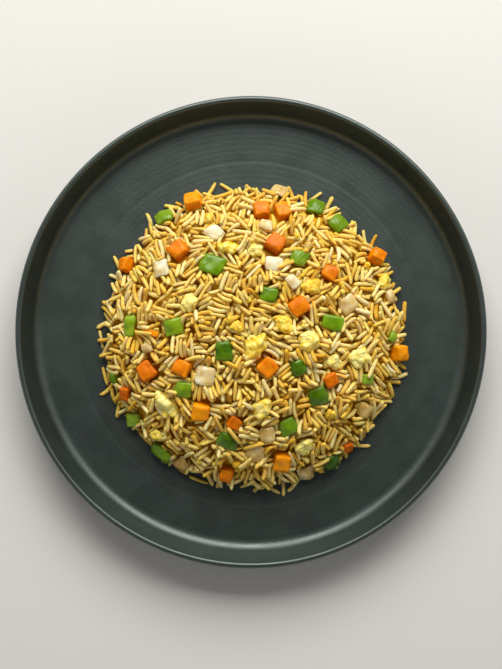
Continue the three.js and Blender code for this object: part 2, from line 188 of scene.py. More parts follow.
class Graph:
    """Adds and links the nodes of one node tree."""

    def __init__(self, tree: bpy.types.NodeTree) -> None:
        """Wraps a node tree."""
        self.tree = tree

    def add(self, kind: str, inputs: dict | None = None, **settings: Any) -> bpy.types.Node:
        """Adds a node.

        Args:
            kind: Type of the node.
            inputs: Sockets to link or values to set, by the name or number of the input.
            settings: Properties of the node.

        Returns:
            The new node.
        """
        node = self.tree.nodes.new(kind)
        for key, value in settings.items():
            setattr(node, key, value)
        for key, value in (inputs or {}).items():
            if isinstance(value, bpy.types.NodeSocket):
                self.tree.links.new(value, node.inputs[key])
            else:
                node.inputs[key].default_value = value
        return node

    def calculate(self, operation: str, *values: Any, clamp: bool = False) -> Socket:
        """Adds a Math node on up to three sockets or numbers and returns its output."""
        inputs = dict(enumerate(values))
        return self.add("ShaderNodeMath", inputs, operation=operation, use_clamp=clamp).outputs[0]

    def weigh(self, mask: Any, share: float, start: Any, clamp: bool = False) -> Socket:
        """Returns a start value plus a share of a mask."""
        return self.calculate("MULTIPLY_ADD", mask, share, start, clamp=clamp)

    def blend(self, share: Any, low: Any, high: Any) -> Socket:
        """Mixes two colours by a share and returns the colour socket."""
        return self.add("ShaderNodeMix", {0: share, 6: low, 7: high}, data_type="RGBA").outputs[2]

    def read(self, name: str, output: str = "Fac") -> Socket:
        """Returns a value kept on the mesh's points, or with Vector as output a vector."""
        return self.add("ShaderNodeAttribute", attribute_name=name).outputs[output]


class SharedGroup(Graph):
    """A shader node group with one output, which more than one finish uses."""

    def __init__(self, name: str, output: tuple[str, str], **inputs: str) -> None:
        """Starts the group.

        Args:
            name: Name of the group.
            output: Name and type of its output socket.
            inputs: Type of each input socket by its name: Float, Vector or Color.
        """
        super().__init__(bpy.data.node_groups.new(name, "ShaderNodeTree"))
        for key, kind in inputs.items():
            self.tree.interface.new_socket(key, in_out="INPUT", socket_type=f"NodeSocket{kind}")
        result, kind = output
        self.tree.interface.new_socket(result, in_out="OUTPUT", socket_type=f"NodeSocket{kind}")
        self.given = self.add("NodeGroupInput").outputs

    def put_out(self, result: Socket) -> bpy.types.NodeTree:
        """Feeds the group's output and returns the finished group."""
        self.add("NodeGroupOutput", {0: result})
        return self.tree


class Effects:
    """Node groups that more than one finish uses, each built once."""

    strand_drift_scale: float = 0.35
    strand_drift_detail: float = 2.0
    film_detail: float = 3.0
    film_from: float = 0.36
    film_to: float = 0.64

    def __init__(self) -> None:
        """Builds the groups."""
        self.mottle = self._mottle()
        self.strands = self._strands()
        self.tones = self._tones()
        self.film = self._film()

    def _mottle(self) -> bpy.types.NodeTree:
        """Builds soft blotches.

        Returns:
            The group, which puts out a mask from 0 to 1 round 0.5.
        """
        sockets = {"Vector": "Vector", "Scale": "Float", "Detail": "Float", "Contrast": "Float"}
        group = SharedGroup("Mottle", ("Mask", "Float"), **sockets)
        noisy = {key: group.given[key] for key in ("Vector", "Scale", "Detail")}
        blotches = group.add("ShaderNodeTexNoise", noisy)
        centred = group.calculate("SUBTRACT", blotches.outputs[0], 0.5)
        return group.put_out(group.weigh(centred, group.given["Contrast"], 0.5, clamp=True))

    def _strands(self) -> bpy.types.NodeTree:
        """Builds fine lines that run along X and wander a little, as fibres and veins do.

        Returns:
            The group, which puts out a mask from 0 to 1.
        """
        group = SharedGroup("Strands", ("Mask", "Float"), Vector="Vector", Period="Float", Wander="Float")
        vector = group.given["Vector"]
        apart = group.add("ShaderNodeSeparateXYZ", {"Vector": vector})
        noisy = {"Vector": vector, "Scale": self.strand_drift_scale, "Detail": self.strand_drift_detail}
        drift = group.add("ShaderNodeTexNoise", noisy)
        across = group.weigh(drift.outputs[0], group.given["Wander"], apart.outputs["Y"])
        turns = group.calculate("DIVIDE", across, group.given["Period"])
        wave = group.calculate("SINE", group.calculate("MULTIPLY", turns, math.tau))
        return group.put_out(group.weigh(wave, 0.5, 0.5))

    def _tones(self) -> bpy.types.NodeTree:
        """Builds a run from a deep over a main to a pale colour as Tone goes from 0 to 1.

        Returns:
            The group, which puts out the colour.
        """
        sockets = {"Deep": "Color", "Main": "Color", "Pale": "Color", "Tone": "Float"}
        group = SharedGroup("Three Tones", ("Color", "Color"), **sockets)
        tone = group.given["Tone"]
        rise = group.calculate("MULTIPLY", tone, 2.0, clamp=True)
        late = group.weigh(tone, 2.0, -1.0, clamp=True)
        lower = group.blend(rise, group.given["Deep"], group.given["Main"])
        return group.put_out(group.blend(late, lower, group.given["Pale"]))

    def _film(self) -> bpy.types.NodeTree:
        """Builds a thin film of oil that lies in patches.

        Returns:
            The group, which puts out a roughness between Wet and Dry.
        """
        sockets = {"Vector": "Vector", "Scale": "Float", "Wet": "Float", "Dry": "Float"}
        group = SharedGroup("Oil Film", ("Roughness", "Float"), **sockets)
        noisy = {"Vector": group.given["Vector"], "Scale": group.given["Scale"], "Detail": self.film_detail}
        patches = group.add("ShaderNodeTexNoise", noisy).outputs[0]
        ends = {1: self.film_from, 2: self.film_to, 3: group.given["Wet"], 4: group.given["Dry"]}
        return group.put_out(group.add("ShaderNodeMapRange", {0: patches, **ends}).outputs[0])


@dataclass(frozen=True)
class Palette:
    """Deep, main and pale colour of a food, in linear light."""

    deep: Colour
    main: Colour
    pale: Colour


def screen_palette(deep: Screen, main: Screen, pale: Screen) -> Palette:
    """Makes a palette of three colours given in screen values from 0 to 255."""
    return Palette(screen_colour(*deep), screen_colour(*main), screen_colour(*pale))


@dataclass(frozen=True)
class Blotches:
    """Soft blotches: how many there are to a millimetre, their detail and their contrast."""

    scale: float
    detail: float
    contrast: float


@dataclass(frozen=True)
class Lines:
    """Fine lines: the distance from one to the next, in millimetres, and how far they wander."""

    period: float
    wander: float


@dataclass(frozen=True)
class Skin:
    """Constant values of a surface shader. Radius and scale are those of the light under the surface."""

    subsurface: float = 0.0
    radius: tuple[float, float, float] = (1.0, 1.0, 1.0)
    scale: float = 1.0 * MM
    specular: float = 0.5
    ior: float = 1.5
    tint: Colour = (1.0, 1.0, 1.0, 1.0)
    coat: float = 0.0
    coat_roughness: float = 0.2
    roughness: float = 0.5

    def inputs(self) -> dict:
        """Names the values as the shader does.

        Returns:
            The values by the names of the shader's sockets.
        """
        return {
            "Subsurface Weight": self.subsurface,
            "Subsurface Radius": self.radius,
            "Subsurface Scale": self.scale,
            "Specular IOR Level": self.specular,
            "IOR": self.ior,
            "Specular Tint": self.tint,
            "Coat Weight": self.coat,
            "Coat Roughness": self.coat_roughness,
            "Roughness": self.roughness,
        }


class Coating(Graph):
    """A material in the making: its surface shader and the shared effects laid over its piece."""

    def __init__(self, name: str, skin: Skin, effects: Effects) -> None:
        """Starts the material.

        Args:
            name: Name of the material.
            skin: The shader's constant values.
            effects: The shared node groups.
        """
        self.material = bpy.data.materials.new(name)
        self.material.use_nodes = True
        self.material.node_tree.nodes.clear()
        super().__init__(self.material.node_tree)
        self.effects = effects
        self.shader = self.add("ShaderNodeBsdfPrincipled", skin.inputs())
        self.add("ShaderNodeOutputMaterial", {"Surface": self.shader.outputs[0]})

    @cached_property
    def place(self) -> Socket:
        """Place of a point on its piece, in millimetres."""
        return self.read("local", "Vector")

    def _effect(self, tree: bpy.types.NodeTree, **inputs: Any) -> Socket:
        """Places a shared node group and returns its output."""
        return self.add("ShaderNodeGroup", inputs, node_tree=tree).outputs[0]

    def mottle(self, look: Blotches) -> Socket:
        """Returns a mask of soft blotches, from 0 to 1."""
        values = {"Scale": look.scale, "Detail": look.detail, "Contrast": look.contrast}
        return self._effect(self.effects.mottle, Vector=self.place, **values)

    def strands(self, look: Lines) -> Socket:
        """Returns a mask of fine lines, from 0 to 1."""
        return self._effect(self.effects.strands, Vector=self.place, Period=look.period, Wander=look.wander)

    def tones(self, colours: Palette, tone: Socket) -> Socket:
        """Returns the colour of a palette at a tone from 0 to 1."""
        values = {"Deep": colours.deep, "Main": colours.main, "Pale": colours.pale}
        return self._effect(self.effects.tones, Tone=tone, **values)

    def film(self, scale: float, roughness: Span) -> Socket:
        """Returns roughness in patches, from that of the wet to that of the dry ones."""
        wet, dry = roughness
        return self._effect(self.effects.film, Vector=self.place, Scale=scale, Wet=wet, Dry=dry)

    def finish(self, colour: Socket, **others: Socket) -> bpy.types.Material:
        """Feeds the shader.

        Args:
            colour: What its colour comes from.
            others: What its other sockets come from, by their names.

        Returns:
            The finished material.
        """
        for name, source in {"Base Color": colour, **others}.items():
            self.tree.links.new(source, self.shader.inputs[name])
        return self.material

    def relief(self, height: Socket, depth: float) -> Socket:
        """Returns the normal for a height from 0 to 1, where 1 stands for a depth in metres."""
        return self.add("ShaderNodeBump", {"Height": height, "Strength": 1.0, "Distance": depth}).outputs[0]


@dataclass(frozen=True)
class StonewareFinish:
    """Dark charcoal glaze, satin, over a brown clay that is bare under the foot ring."""

    glaze: Palette = screen_palette((19, 25, 21), (23, 30, 25), (27, 35, 29))
    clay: Colour = screen_colour(110, 88, 68)
    skin: Skin = Skin(specular=1.0, ior=1.6, tint=(0.84, 1.0, 0.94, 1.0))
    clouds: Blotches = Blotches(0.03, 4.0, 2.2)
    specks: Blotches = Blotches(1.3, 3.0, 5.0)
    speck_share: float = 0.25
    film_scale: float = 0.08
    glaze_roughness: Span = (0.42, 0.49)
    bare_below: float = 0.7
    bare_roughness: float = 0.9
    grit: Blotches = Blotches(0.9, 5.0, 1.6)
    grit_depth: float = 0.05 * MM

    def build(self, effects: Effects) -> bpy.types.Material:
        """Builds the material.

        Args:
            effects: The shared node groups.

        Returns:
            The material.
        """
        coat = Coating("stoneware_glaze", self.skin, effects)
        glaze = coat.tones(self.glaze, coat.mottle(self.clouds))
        specks = coat.calculate("MULTIPLY", coat.mottle(self.specks), self.speck_share)
        dusted = coat.blend(specks, glaze, self.glaze.deep)
        height = coat.add("ShaderNodeSeparateXYZ", {"Vector": coat.place}).outputs["Z"]
        bare = coat.calculate("LESS_THAN", height, self.bare_below)
        dull = coat.calculate("MULTIPLY", bare, self.bare_roughness)
        rough = coat.calculate("MAXIMUM", coat.film(self.film_scale, self.glaze_roughness), dull)
        normal = coat.relief(coat.mottle(self.grit), self.grit_depth)
        return coat.finish(coat.blend(bare, dusted, self.clay), Roughness=rough, Normal=normal)


@dataclass(frozen=True)
class FoodFinish:
    """A food: colours by a tone that blotches, lines, folds and edges shift, a film of oil and a relief.
    The folds add painted shade in the creases and painted light on the lobes; the edges add painted
    highlight, and on onion also its paler cut rims.
    """

    name: str
    palette: Palette
    skin: Skin
    blotches: Blotches
    blotch_share: float
    tone_start: float
    film_scale: float
    roughness: Span
    relief: Blotches | Lines
    relief_depth: float
    lines: Lines | None = None
    line_share: float = 0.0
    crease_shade_share: float = 0.0
    rim_pale_and_highlight_share: float = 0.0
    edge_highlight_share: float = 0.0

    def build(self, effects: Effects) -> bpy.types.Material:
        """Builds the material.

        Args:
            effects: The shared node groups.

        Returns:
            The material.
        """
        coat = Coating(self.name, self.skin, effects)
        shift = coat.weigh(coat.mottle(self.blotches), self.blotch_share, self.tone_start)
        if self.lines:
            shift = coat.weigh(coat.strands(self.lines), self.line_share, shift)
        # Fold level paints shade into creases and light onto lobes; the edge mask paints highlight on rims,
        # on onion with its paler cut rims as well.
        for value, share in (("fold", self.crease_shade_share), ("edge", self.rim_pale_and_highlight_share)):
            shift = coat.weigh(coat.read(value), share, shift) if share else shift
        tone = coat.calculate("ADD", coat.read("tone"), shift, clamp=True)
        # Painted highlight: the tone rises toward the piece's edges.
        if self.edge_highlight_share:
            tone = coat.weigh(coat.read("edge"), self.edge_highlight_share, tone, clamp=True)
        lined = isinstance(self.relief, Lines)
        height = coat.strands(self.relief) if lined else coat.mottle(self.relief)
        normal = coat.relief(height, self.relief_depth)
        film = coat.film(self.film_scale, self.roughness)
        return coat.finish(coat.tones(self.palette, tone), Roughness=film, Normal=normal)


def rice_finish(name: str, deep: Screen, main: Screen, pale: Screen) -> FoodFinish:
    """Makes the finish of cooked grain: glossy, slightly translucent, faintly ridged along its length.

    Args:
        name: Name of the material.
        deep: Screen colour of its deep tone.
        main: Screen colour of its main tone.
        pale: Screen colour of its pale tone.

    Returns:
        The finish.
    """
    return FoodFinish(
        name=name,
        palette=screen_palette(deep, main, pale),
        skin=Skin(subsurface=0.75, radius=(1.0, 0.62, 0.2), scale=2.4 * MM, specular=0.08),
        blotches=Blotches(0.45, 3.0, 2.4),
        blotch_share=0.34,
        tone_start=-0.17,
        film_scale=0.5,
        roughness=(0.45, 0.62),
        relief=Lines(0.62, 0.7),
        relief_depth=0.04 * MM,
    )


# Cooked carrot: wet orange flesh with faint fibres, paler where it is dry, and lighter at its edges as
# painted highlight.
CARROT = FoodFinish(
    name="carrot_flesh",
    palette=screen_palette((196, 90, 0), (230, 122, 0), (252, 158, 10)),
    skin=Skin(subsurface=0.2, radius=(1.0, 0.45, 0.1), scale=1.4 * MM, specular=0.18, coat=0.04),
    blotches=Blotches(0.28, 4.0, 2.6),
    blotch_share=0.44,
    tone_start=-0.22,
    lines=Lines(0.8, 3.0),
    line_share=0.1,
    edge_highlight_share=0.22,
    film_scale=0.3,
    roughness=(0.28, 0.46),
    relief=Blotches(1.6, 4.0, 1.8),
    relief_depth=0.09 * MM,
)

# Fried onion: translucent white with fine veins, browned a little by the sauce, paler at its rims partly for
# its cut layers and partly as painted highlight.
ONION_VEINS = Lines(1.05, 1.2)
ONION = FoodFinish(
    name="onion_flesh",
    palette=screen_palette((190, 148, 58), (222, 192, 118), (244, 232, 200)),
    skin=Skin(subsurface=0.6, radius=(1.0, 0.8, 0.5), scale=3.0 * MM, coat=0.3, coat_roughness=0.15),
    blotches=Blotches(0.2, 3.0, 2.4),
    blotch_share=0.6,
    tone_start=-0.42,
    lines=ONION_VEINS,
    line_share=0.16,
    rim_pale_and_highlight_share=0.5,
    film_scale=0.3,
    roughness=(0.24, 0.42),
    relief=ONION_VEINS,
    relief_depth=0.1 * MM,
)

# Scrambled egg: soft yellow with fine pores, darker in its creases as painted shade and paler on its lobes as
# painted light.
EGG = FoodFinish(
    name="egg_curd",
    palette=screen_palette((230, 178, 22), (247, 212, 58), (254, 238, 144)),
    skin=Skin(subsurface=0.35, radius=(1.0, 0.75, 0.3), scale=1.6 * MM, coat=0.1, coat_roughness=0.25),
    blotches=Blotches(0.3, 4.0, 2.4),
    blotch_share=0.8,
    tone_start=-0.86,
    crease_shade_share=0.6,
    film_scale=0.4,
    roughness=(0.34, 0.54),
    relief=Blotches(1.1, 5.0, 2.0),
    relief_depth=0.16 * MM,
)


@dataclass(frozen=True)
class PepperFinish:
    """Green pepper: a glossy deep skin on one side, pale flesh with veins on the other and at the cuts. Its
    rims blend toward the pale flesh, partly for the cuts and partly as painted highlight.
    """

    skin_side: Palette = screen_palette((54, 92, 0), (106, 146, 4), (154, 182, 34))
    flesh_side: Palette = screen_palette((84, 124, 4), (116, 150, 22), (156, 180, 56))
    skin: Skin = Skin(
        subsurface=0.15,
        radius=(0.6, 1.0, 0.15),
        scale=1.2 * MM,
        specular=0.3,
        coat=0.15,
        coat_roughness=0.15,
    )
    blotches: Blotches = Blotches(0.22, 3.0, 2.4)
    blotch_share: float = 0.36
    veins: Lines = Lines(1.5, 1.6)
    vein_share: float = 0.16
    vein_start: float = 0.06
    rim_pale_and_highlight_share: float = 0.45
    film_scale: float = 0.3
    roughness: Span = (0.2, 0.36)
    vein_depth: float = 0.12 * MM

    def build(self, effects: Effects) -> bpy.types.Material:
        """Builds the material.

        Args:
            effects: The shared node groups.

        Returns:
            The material.
        """
        coat = Coating("pepper_green", self.skin, effects)
        low = coat.calculate("SUBTRACT", coat.read("tone"), self.blotch_share / 2)
        tone = coat.weigh(coat.mottle(self.blotches), self.blotch_share, low, clamp=True)
        veins = coat.strands(self.veins)
        below = coat.calculate("SUBTRACT", tone, self.vein_start)
        veined = coat.weigh(veins, self.vein_share, below, clamp=True)
        side = coat.read("skin")
        flesh = coat.tones(self.flesh_side, veined)
        both = coat.blend(side, flesh, coat.tones(self.skin_side, tone))
        # Rims blend toward the pale flesh: partly the flesh shown at the cuts, partly painted highlight.
        rim = coat.calculate("MULTIPLY", coat.read("edge"), self.rim_pale_and_highlight_share)
        height = coat.calculate("MULTIPLY", veins, coat.calculate("SUBTRACT", 1.0, side))
        normal = coat.relief(height, self.vein_depth)
        film = coat.film(self.film_scale, self.roughness)
        return coat.finish(coat.blend(rim, both, self.flesh_side.pale), Roughness=film, Normal=normal)


# Plate


@dataclass
class Plate:
    """Thrown coupe plate: flat floor, small inner fillet, low leaning wall, rounded lip and a foot ring."""

    turns: int = 288
    underside_z: float = 2.0
    underside_step: float = 9.0
    floor_z: float = 6.5
    foot_radii: Span = (83.0, 91.0)
    foot_bevel: float = 1.5
    heel_z: float = 2.6
    outer_corner_at: float = 119.0
    outer_corner: float = 14.5
    outer_lean: float = 15.0
    inner_corner_at: float = 121.0
    inner_corner: float = 6.6
    inner_lean: float = 17.0
    lip_at: Span = (133.3, 22.3)
    lip_rounding: float = 1.7
    arc_steps: int = 14
    floor_step: float = 0.95
    throwing_pitch: float = 3.3
    throwing_depth: float = 0.02
    throwing_sway: float = 0.8
    throwing_sway_rate: float = 0.11
    throwing_fade: float = 20.0
    groove_at: float = 100.0
    groove_width: float = 1.6
    groove_depth: float = 0.08
    wobble: float = 0.16
    wobble_from: float = 90.0
    wobble_over: float = 40.0
    wobble_shrinking: float = 1.6

    def _arc(self, x: float, z: float, radius: float, start: float, end: float) -> list[Span]:
        """Returns points on an arc round (x, z) between two angles in degrees."""
        angles = np.radians(np.linspace(start, end, self.arc_steps))
        return [(x + radius * math.cos(a), z + radius * math.sin(a)) for a in angles]

    def profile(self) -> np.ndarray:
        """Works out the section from the underside's centre round the lip to the floor's centre.

        Returns:
            Radius and height of each point, in millimetres.
        """
        foot_in, foot_out = self.foot_radii
        foot = [(foot_in, self.underside_z), (foot_in + self.foot_bevel, 0.0)]
        foot += [(foot_out - self.foot_bevel, 0.0), (foot_out, self.underside_z)]
        underside = [(r, self.underside_z) for r in np.arange(0.0, foot_in - 1, self.underside_step)]
        heel = self.heel_z + self.outer_corner
        outer = self._arc(self.outer_corner_at, heel, self.outer_corner, -90, -self.outer_lean)
        lip = self._arc(*self.lip_at, self.lip_rounding, -self.outer_lean, 180 - self.inner_lean)
        fillet = self.floor_z + self.inner_corner
        inner = self._arc(self.inner_corner_at, fillet, self.inner_corner, -self.inner_lean, -90)
        floor = [(r, self.floor_z) for r in np.arange(self.inner_corner_at - 1, 0.0, -self.floor_step)]
        return np.array([*underside, *foot, *outer, *lip, *inner, *floor, (0.0, self.floor_z)])

    def surface(self) -> Surface:
        """Turns the section round the axis, with the marks that throwing leaves.

        Returns:
            The plate's closed surface.
        """
        section = self.profile()
        radii, heights = section[1:-1, 0], section[1:-1, 1]
        angles = np.arange(self.turns) * math.tau / self.turns
        r, a = np.meshgrid(radii, angles, indexing="ij")
        z = np.repeat(heights[:, None], self.turns, axis=1)
        upper = np.zeros(len(radii))
        upper[np.argmax(radii) :] = 1.0
        sway = self.throwing_sway * np.sin(r * self.throwing_sway_rate)
        spiral = np.sin(math.tau * r / self.throwing_pitch - a + sway)
        fade = np.clip(r / self.throwing_fade, 0, 1)
        groove = np.exp(-(((r - self.groove_at) / self.groove_width) ** 2))
        marks = self.throwing_depth * spiral * fade - self.groove_depth * groove
        z = z + marks * upper[:, None]
        # The rim waves up and down and is a little out of round, each at a few beats to a turn.
        rim = np.clip((r - self.wobble_from) / self.wobble_over, 0, 1) ** 2 * self.wobble
        z = z + rim * (np.sin(2 * a + 0.7) + 0.5 * np.sin(3 * a + 2.1))
        r = r + rim * (0.6 * np.sin(5 * a + 1.0) - np.cos(2 * a)) - rim * self.wobble_shrinking
        rings = np.stack([r * np.cos(a), r * np.sin(a), z], axis=-1).reshape(-1, 3)
        points = np.concatenate([rings, [[0, 0, section[0, 1]], [0, 0, section[-1, 1]]]])
        return Surface(points, lathe_faces(len(radii), self.turns), {}, {"local": points.copy()})

    def build(self, finish: bpy.types.Material) -> None:
        """Builds the plate with its finish."""
        settle(self.surface().to_object("plate_thrown"), finish, "plate")


# Dome that the heap follows


@dataclass(frozen=True)
class Dome:
    """Outer form of the heap of rice: a flat-topped dome on a round base."""

    x: float = 1.2
    y: float = -3.1
    radius: float = 87.0
    height: float = 33.0
    flatness: float = 2.3
    fullness: float = 0.74
    base_z: float = 6.85
    normal_step: float = 0.5

    def spot(self, out: float, turn: float) -> Span:
        """Returns the point at a distance and an angle from the dome's axis."""
        return self.x + out * math.cos(turn), self.y + out * math.sin(turn)

    def reach(self, x: Any, y: Any) -> Any:
        """Returns the distance from the dome's axis."""
        return np.hypot(np.asarray(x) - self.x, np.asarray(y) - self.y)

    def top(self, x: Any, y: Any) -> Any:
        """Returns the height of the dome's top at points seen from above, and of its base outside it."""
        share = np.minimum(self.reach(x, y) / self.radius, 1.0)
        return self.base_z + self.height * (1 - share**self.flatness) ** self.fullness

    def normal(self, x: float, y: float) -> Vector:
        """Works out the dome's outward direction.

        Args:
            x: Place along X of a point, seen from above.
            y: Its place along Y.

        Returns:
            The direction, of length 1.
        """
        step = self.normal_step
        reach = min(float(self.reach(x, y)), self.radius - 2 * step)
        away = Vector((x - self.x, y - self.y, 0)).normalized()
        outer = self.top(self.x + reach + step, self.y)
        inner = self.top(self.x + max(reach - step, 0.0), self.y)
        slope = float(outer - inner) / (2 * step)
        return Vector((-slope * away.x, -slope * away.y, 1)).normalized()


# Toppings


@dataclass(frozen=True)
class Folds:
    """Soft lobes with creases between them, as curds have: broad ones and small ones, swirled a little."""

    size: float
    small: float = 0.45
    swirl: float = 0.5
    swirl_size: float = 1.6
    swirl_starts: tuple[float, float, float] = (0.0, 31.7, 63.1)
    gain: float = 2.6
    softness: float = 0.7
    broad_share: float = 0.66
    small_share: float = 0.34

    def _lobe(self, spot: Vector) -> float:
        """Returns 0 in a crease between lobes of about one unit's size and up to 1 on them."""
        return min(abs(noise.noise(spot)) * self.gain, 1.0) ** self.softness

    def level(self, spot: Vector) -> float:
        """Tells how far a spot lies from the creases.

        Args:
            spot: The spot, in millimetres.

        Returns:
            0 in a crease, up to 1 on a lobe.
        """
        wide = spot / (self.size * self.swirl_size)
        turned = [noise.noise(wide + Vector((start, 0, 0))) for start in self.swirl_starts]
        swirl = Vector(turned) * self.size * self.swirl
        broad = self._lobe((spot + swirl) / self.size)
        small = self._lobe((spot - swirl) / (self.size * self.small))
        return self.broad_share * broad + self.small_share * small


@dataclass(frozen=True)
class Cut:
    """How a kind of topping is dressed, in millimetres."""

    rounding: float
    levels: int
    lump: float
    lump_size: float
    grain: float
    grain_size: float
    ridge: float = 0.0
    ridge_period: float = 1.5
    ridge_sway: float = 0.6
    ridge_sway_rate: float = 0.7
    ridged_skin: bool = False
    fold: float = 0.0
    folds: Folds = Folds(5.0)
    fold_level: float = 0.6
    skin_from: float = -0.15
    skin_gain: float = 3.0
    facing_gain: float = 2.5
    edge_from: float = 0.64
    edge_gain: float = 3.6


CUTS = {
    Slot.CARROT: Cut(0.8, 3, 0.8, 5.0, 0.16, 1.6),
    Slot.PEPPER: Cut(1.1, 3, 0.9, 6.0, 0.08, 2.0, ridge=0.06, ridge_period=1.9),
    Slot.ONION: Cut(1.2, 3, 0.9, 5.0, 0.08, 1.8, ridge=0.05, ridge_period=1.15, ridged_skin=True),
    Slot.EGG: Cut(0.0, 3, 2.2, 4.4, 0.2, 1.4, fold=0.9, folds=Folds(4.6)),
}
CRUMB_CUT = Cut(0.0, 1, 0.25, 2.0, 0.1, 0.8, fold=0.4, folds=Folds(2.0))
# How far the patterns move from one seed to the next.
SEED_STEPS = (17.3, 5.1, 11.7)
# Points nearer than this are one, and triangles join in one face within these angles, in radians.
WELD = 0.01 * MM
FLAT_WITHIN = 0.75
SQUARE_WITHIN = 3.1


class Look(NamedTuple):
    """Look of one topping: its lightness from 0 to 1, and for pepper how much of its upper side is skin."""

    tone: float
    skin: float = 1.0


# Tones are matched piece by piece, partly the piece's own colour and partly painted light: pieces in shade
# are set lighter, pieces in full light darker.
LOOKS = {
    Slot.CARROT: [
        Look(tone)
        for tone in (
            *(0.9, 0.55, 0.6, 0.55, 0.65, 0.65, 0.35, 0.5, 0.5),
            *(0.35, 0.6, 1.0, 0.3, 0.6, 0.6, 1.0, 1.0),
        )
    ],
    Slot.PEPPER: [
        Look(*pair)
        for pair in (
            *((0.6, 0.25), (0.45, 0.9), (0.8, 0.8), (0.75, 1.0), (0.35, 0.5), (0.4, 0.1)),
            *((0.55, 0.15), (0.4, 1.0), (0.55, 1.0), (0.15, 1.0), (0.65, 0.95), (0.85, 0.3)),
            *((0.2, 1.0), (0.5, 0.9), (0.15, 1.0), (0.15, 1.0), (0.5, 0.9), (0.0, 1.0)),
        )
    ],
    Slot.ONION: [Look(tone) for tone in (0.95, 0.85, 0.4, 1.0, 0.5, 0.7, 0.1, 0.2, 0.45, 0.5, 0.55)],
    Slot.EGG: [Look(tone) for tone in (0.6, 0.95, 0.95, 0.5, 0.7, 0.7, 1.0, 0.85, 1.0, 1.0, 1.0, 0.8)],
}


def rounded(bare: bmesh.types.BMesh, cut: Cut) -> bmesh.types.BMesh:
    """Rounds the edges of a faceted form and divides its faces finely.

    Args:
        bare: The form, in metres. It is used up.
        cut: How the kind is dressed.

    Returns:
        The fine form.
    """
    bmesh.ops.remove_doubles(bare, verts=bare.verts[:], dist=WELD)
    if cut.rounding:
        bmesh.ops.join_triangles(
            bare,
            faces=bare.faces[:],
            angle_face_threshold=FLAT_WITHIN,
            angle_shape_threshold=SQUARE_WITHIN,
        )
        bmesh.ops.bevel(
            bare,
            geom=bare.edges[:],
            offset=cut.rounding * MM,
            segments=1,
            profile=0.5,
            affect="EDGES",
            clamp_overlap=True,
        )
    rough = bpy.data.meshes.new("rough")
    bare.to_mesh(rough)
    bare.free()
    holder = bpy.data.objects.new("rough", rough)
    bpy.context.scene.collection.objects.link(holder)
    smoother = holder.modifiers.new("smoother", "SUBSURF")
    smoother.levels = smoother.render_levels = cut.levels
    seen = holder.evaluated_get(bpy.context.evaluated_depsgraph_get())
    fine = bmesh.new()
    fine.from_mesh(seen.to_mesh())
    seen.to_mesh_clear()
    bpy.data.objects.remove(holder)
    bpy.data.meshes.remove(rough)
    return fine


def own_axes(points: np.ndarray) -> np.ndarray:
    """Finds a piece's long, broad and thin direction.

    Args:
        points: The piece's points round their mean.

    Returns:
        The three directions as rows, the thin one pointing up.
    """
    _, directions = np.linalg.eigh(points.T @ points)
    long_way, thin = directions[:, 2], directions[:, 0]
    thin = thin if thin[2] >= 0 else -thin
    return np.stack([long_way, np.cross(thin, long_way), thin])


def dress(form: bmesh.types.BMesh, cut: Cut, look: Look, seed: int) -> Surface:
    """Gives a topping's form the unevenness of cut or scrambled food.

    Args:
        form: The bare form in its place, in metres. It is used up.
        cut: How the kind is dressed.
        look: Lightness and skin share of this piece.
        seed: Number that makes this piece differ from the others.

    Returns:
        The dressed surface with its values for the finish.
    """
    bare = np.array([v.co for v in form.verts]) / MM
    fine = rounded(form, cut)
    points = np.array([v.co for v in fine.verts]) / MM
    normals = np.array([v.normal for v in fine.verts])
    middle = bare.mean(axis=0)
    axes = own_axes(bare - middle)
    local = (points - middle) @ axes.T
    half = np.abs(local).max(axis=0)
    offset = Vector([seed * step for step in SEED_STEPS])
    lift = np.zeros(len(points))
    folds = np.zeros(len(points))
    for i, row in enumerate(local):
        spot = Vector(row) + offset
        lump = cut.lump * noise.noise(spot / cut.lump_size)
        lift[i] = lump + cut.grain * noise.noise(spot / cut.grain_size)
        if cut.fold:
            folds[i] = cut.folds.level(spot)
            lift[i] += cut.fold * (folds[i] - cut.fold_level)
    facing = normals @ axes[2]
    if cut.ridge:
        sway = cut.ridge_sway * np.sin(local[:, 0] * cut.ridge_sway_rate)
        waves = np.sin(local[:, 1] * math.tau / cut.ridge_period + sway)
        flat = np.clip(np.abs(facing) * 2 - 1, 0, 1)
        lift += cut.ridge * waves * flat * (1.0 if cut.ridged_skin else 1.0 - look.skin)
    points = points + normals * lift[:, None]
    upper = np.clip((local[:, 2] / half[2] - cut.skin_from) * cut.skin_gain, 0, 1)
    corner = np.sort(np.abs(local) / half, axis=1)[:, 1]
    floats = {
        "tone": np.full(len(points), look.tone),
        "skin": upper * np.clip(facing * cut.facing_gain, 0, 1) * look.skin,
        "edge": np.clip((corner - cut.edge_from) * cut.edge_gain, 0, 1),
        "fold": folds,
    }
    faces = [tuple(v.index for v in face.verts) for face in fine.faces]
    fine.free()
    return Surface(points, faces, floats, {"local": local + np.array(offset)})


class Bit(NamedTuple):
    """A small bit of topping in the rice: its kind, its place and size seen from above, and its look."""

    kind: Slot
    x: float
    y: float
    turn: float
    length: float
    width: float
    look: Look


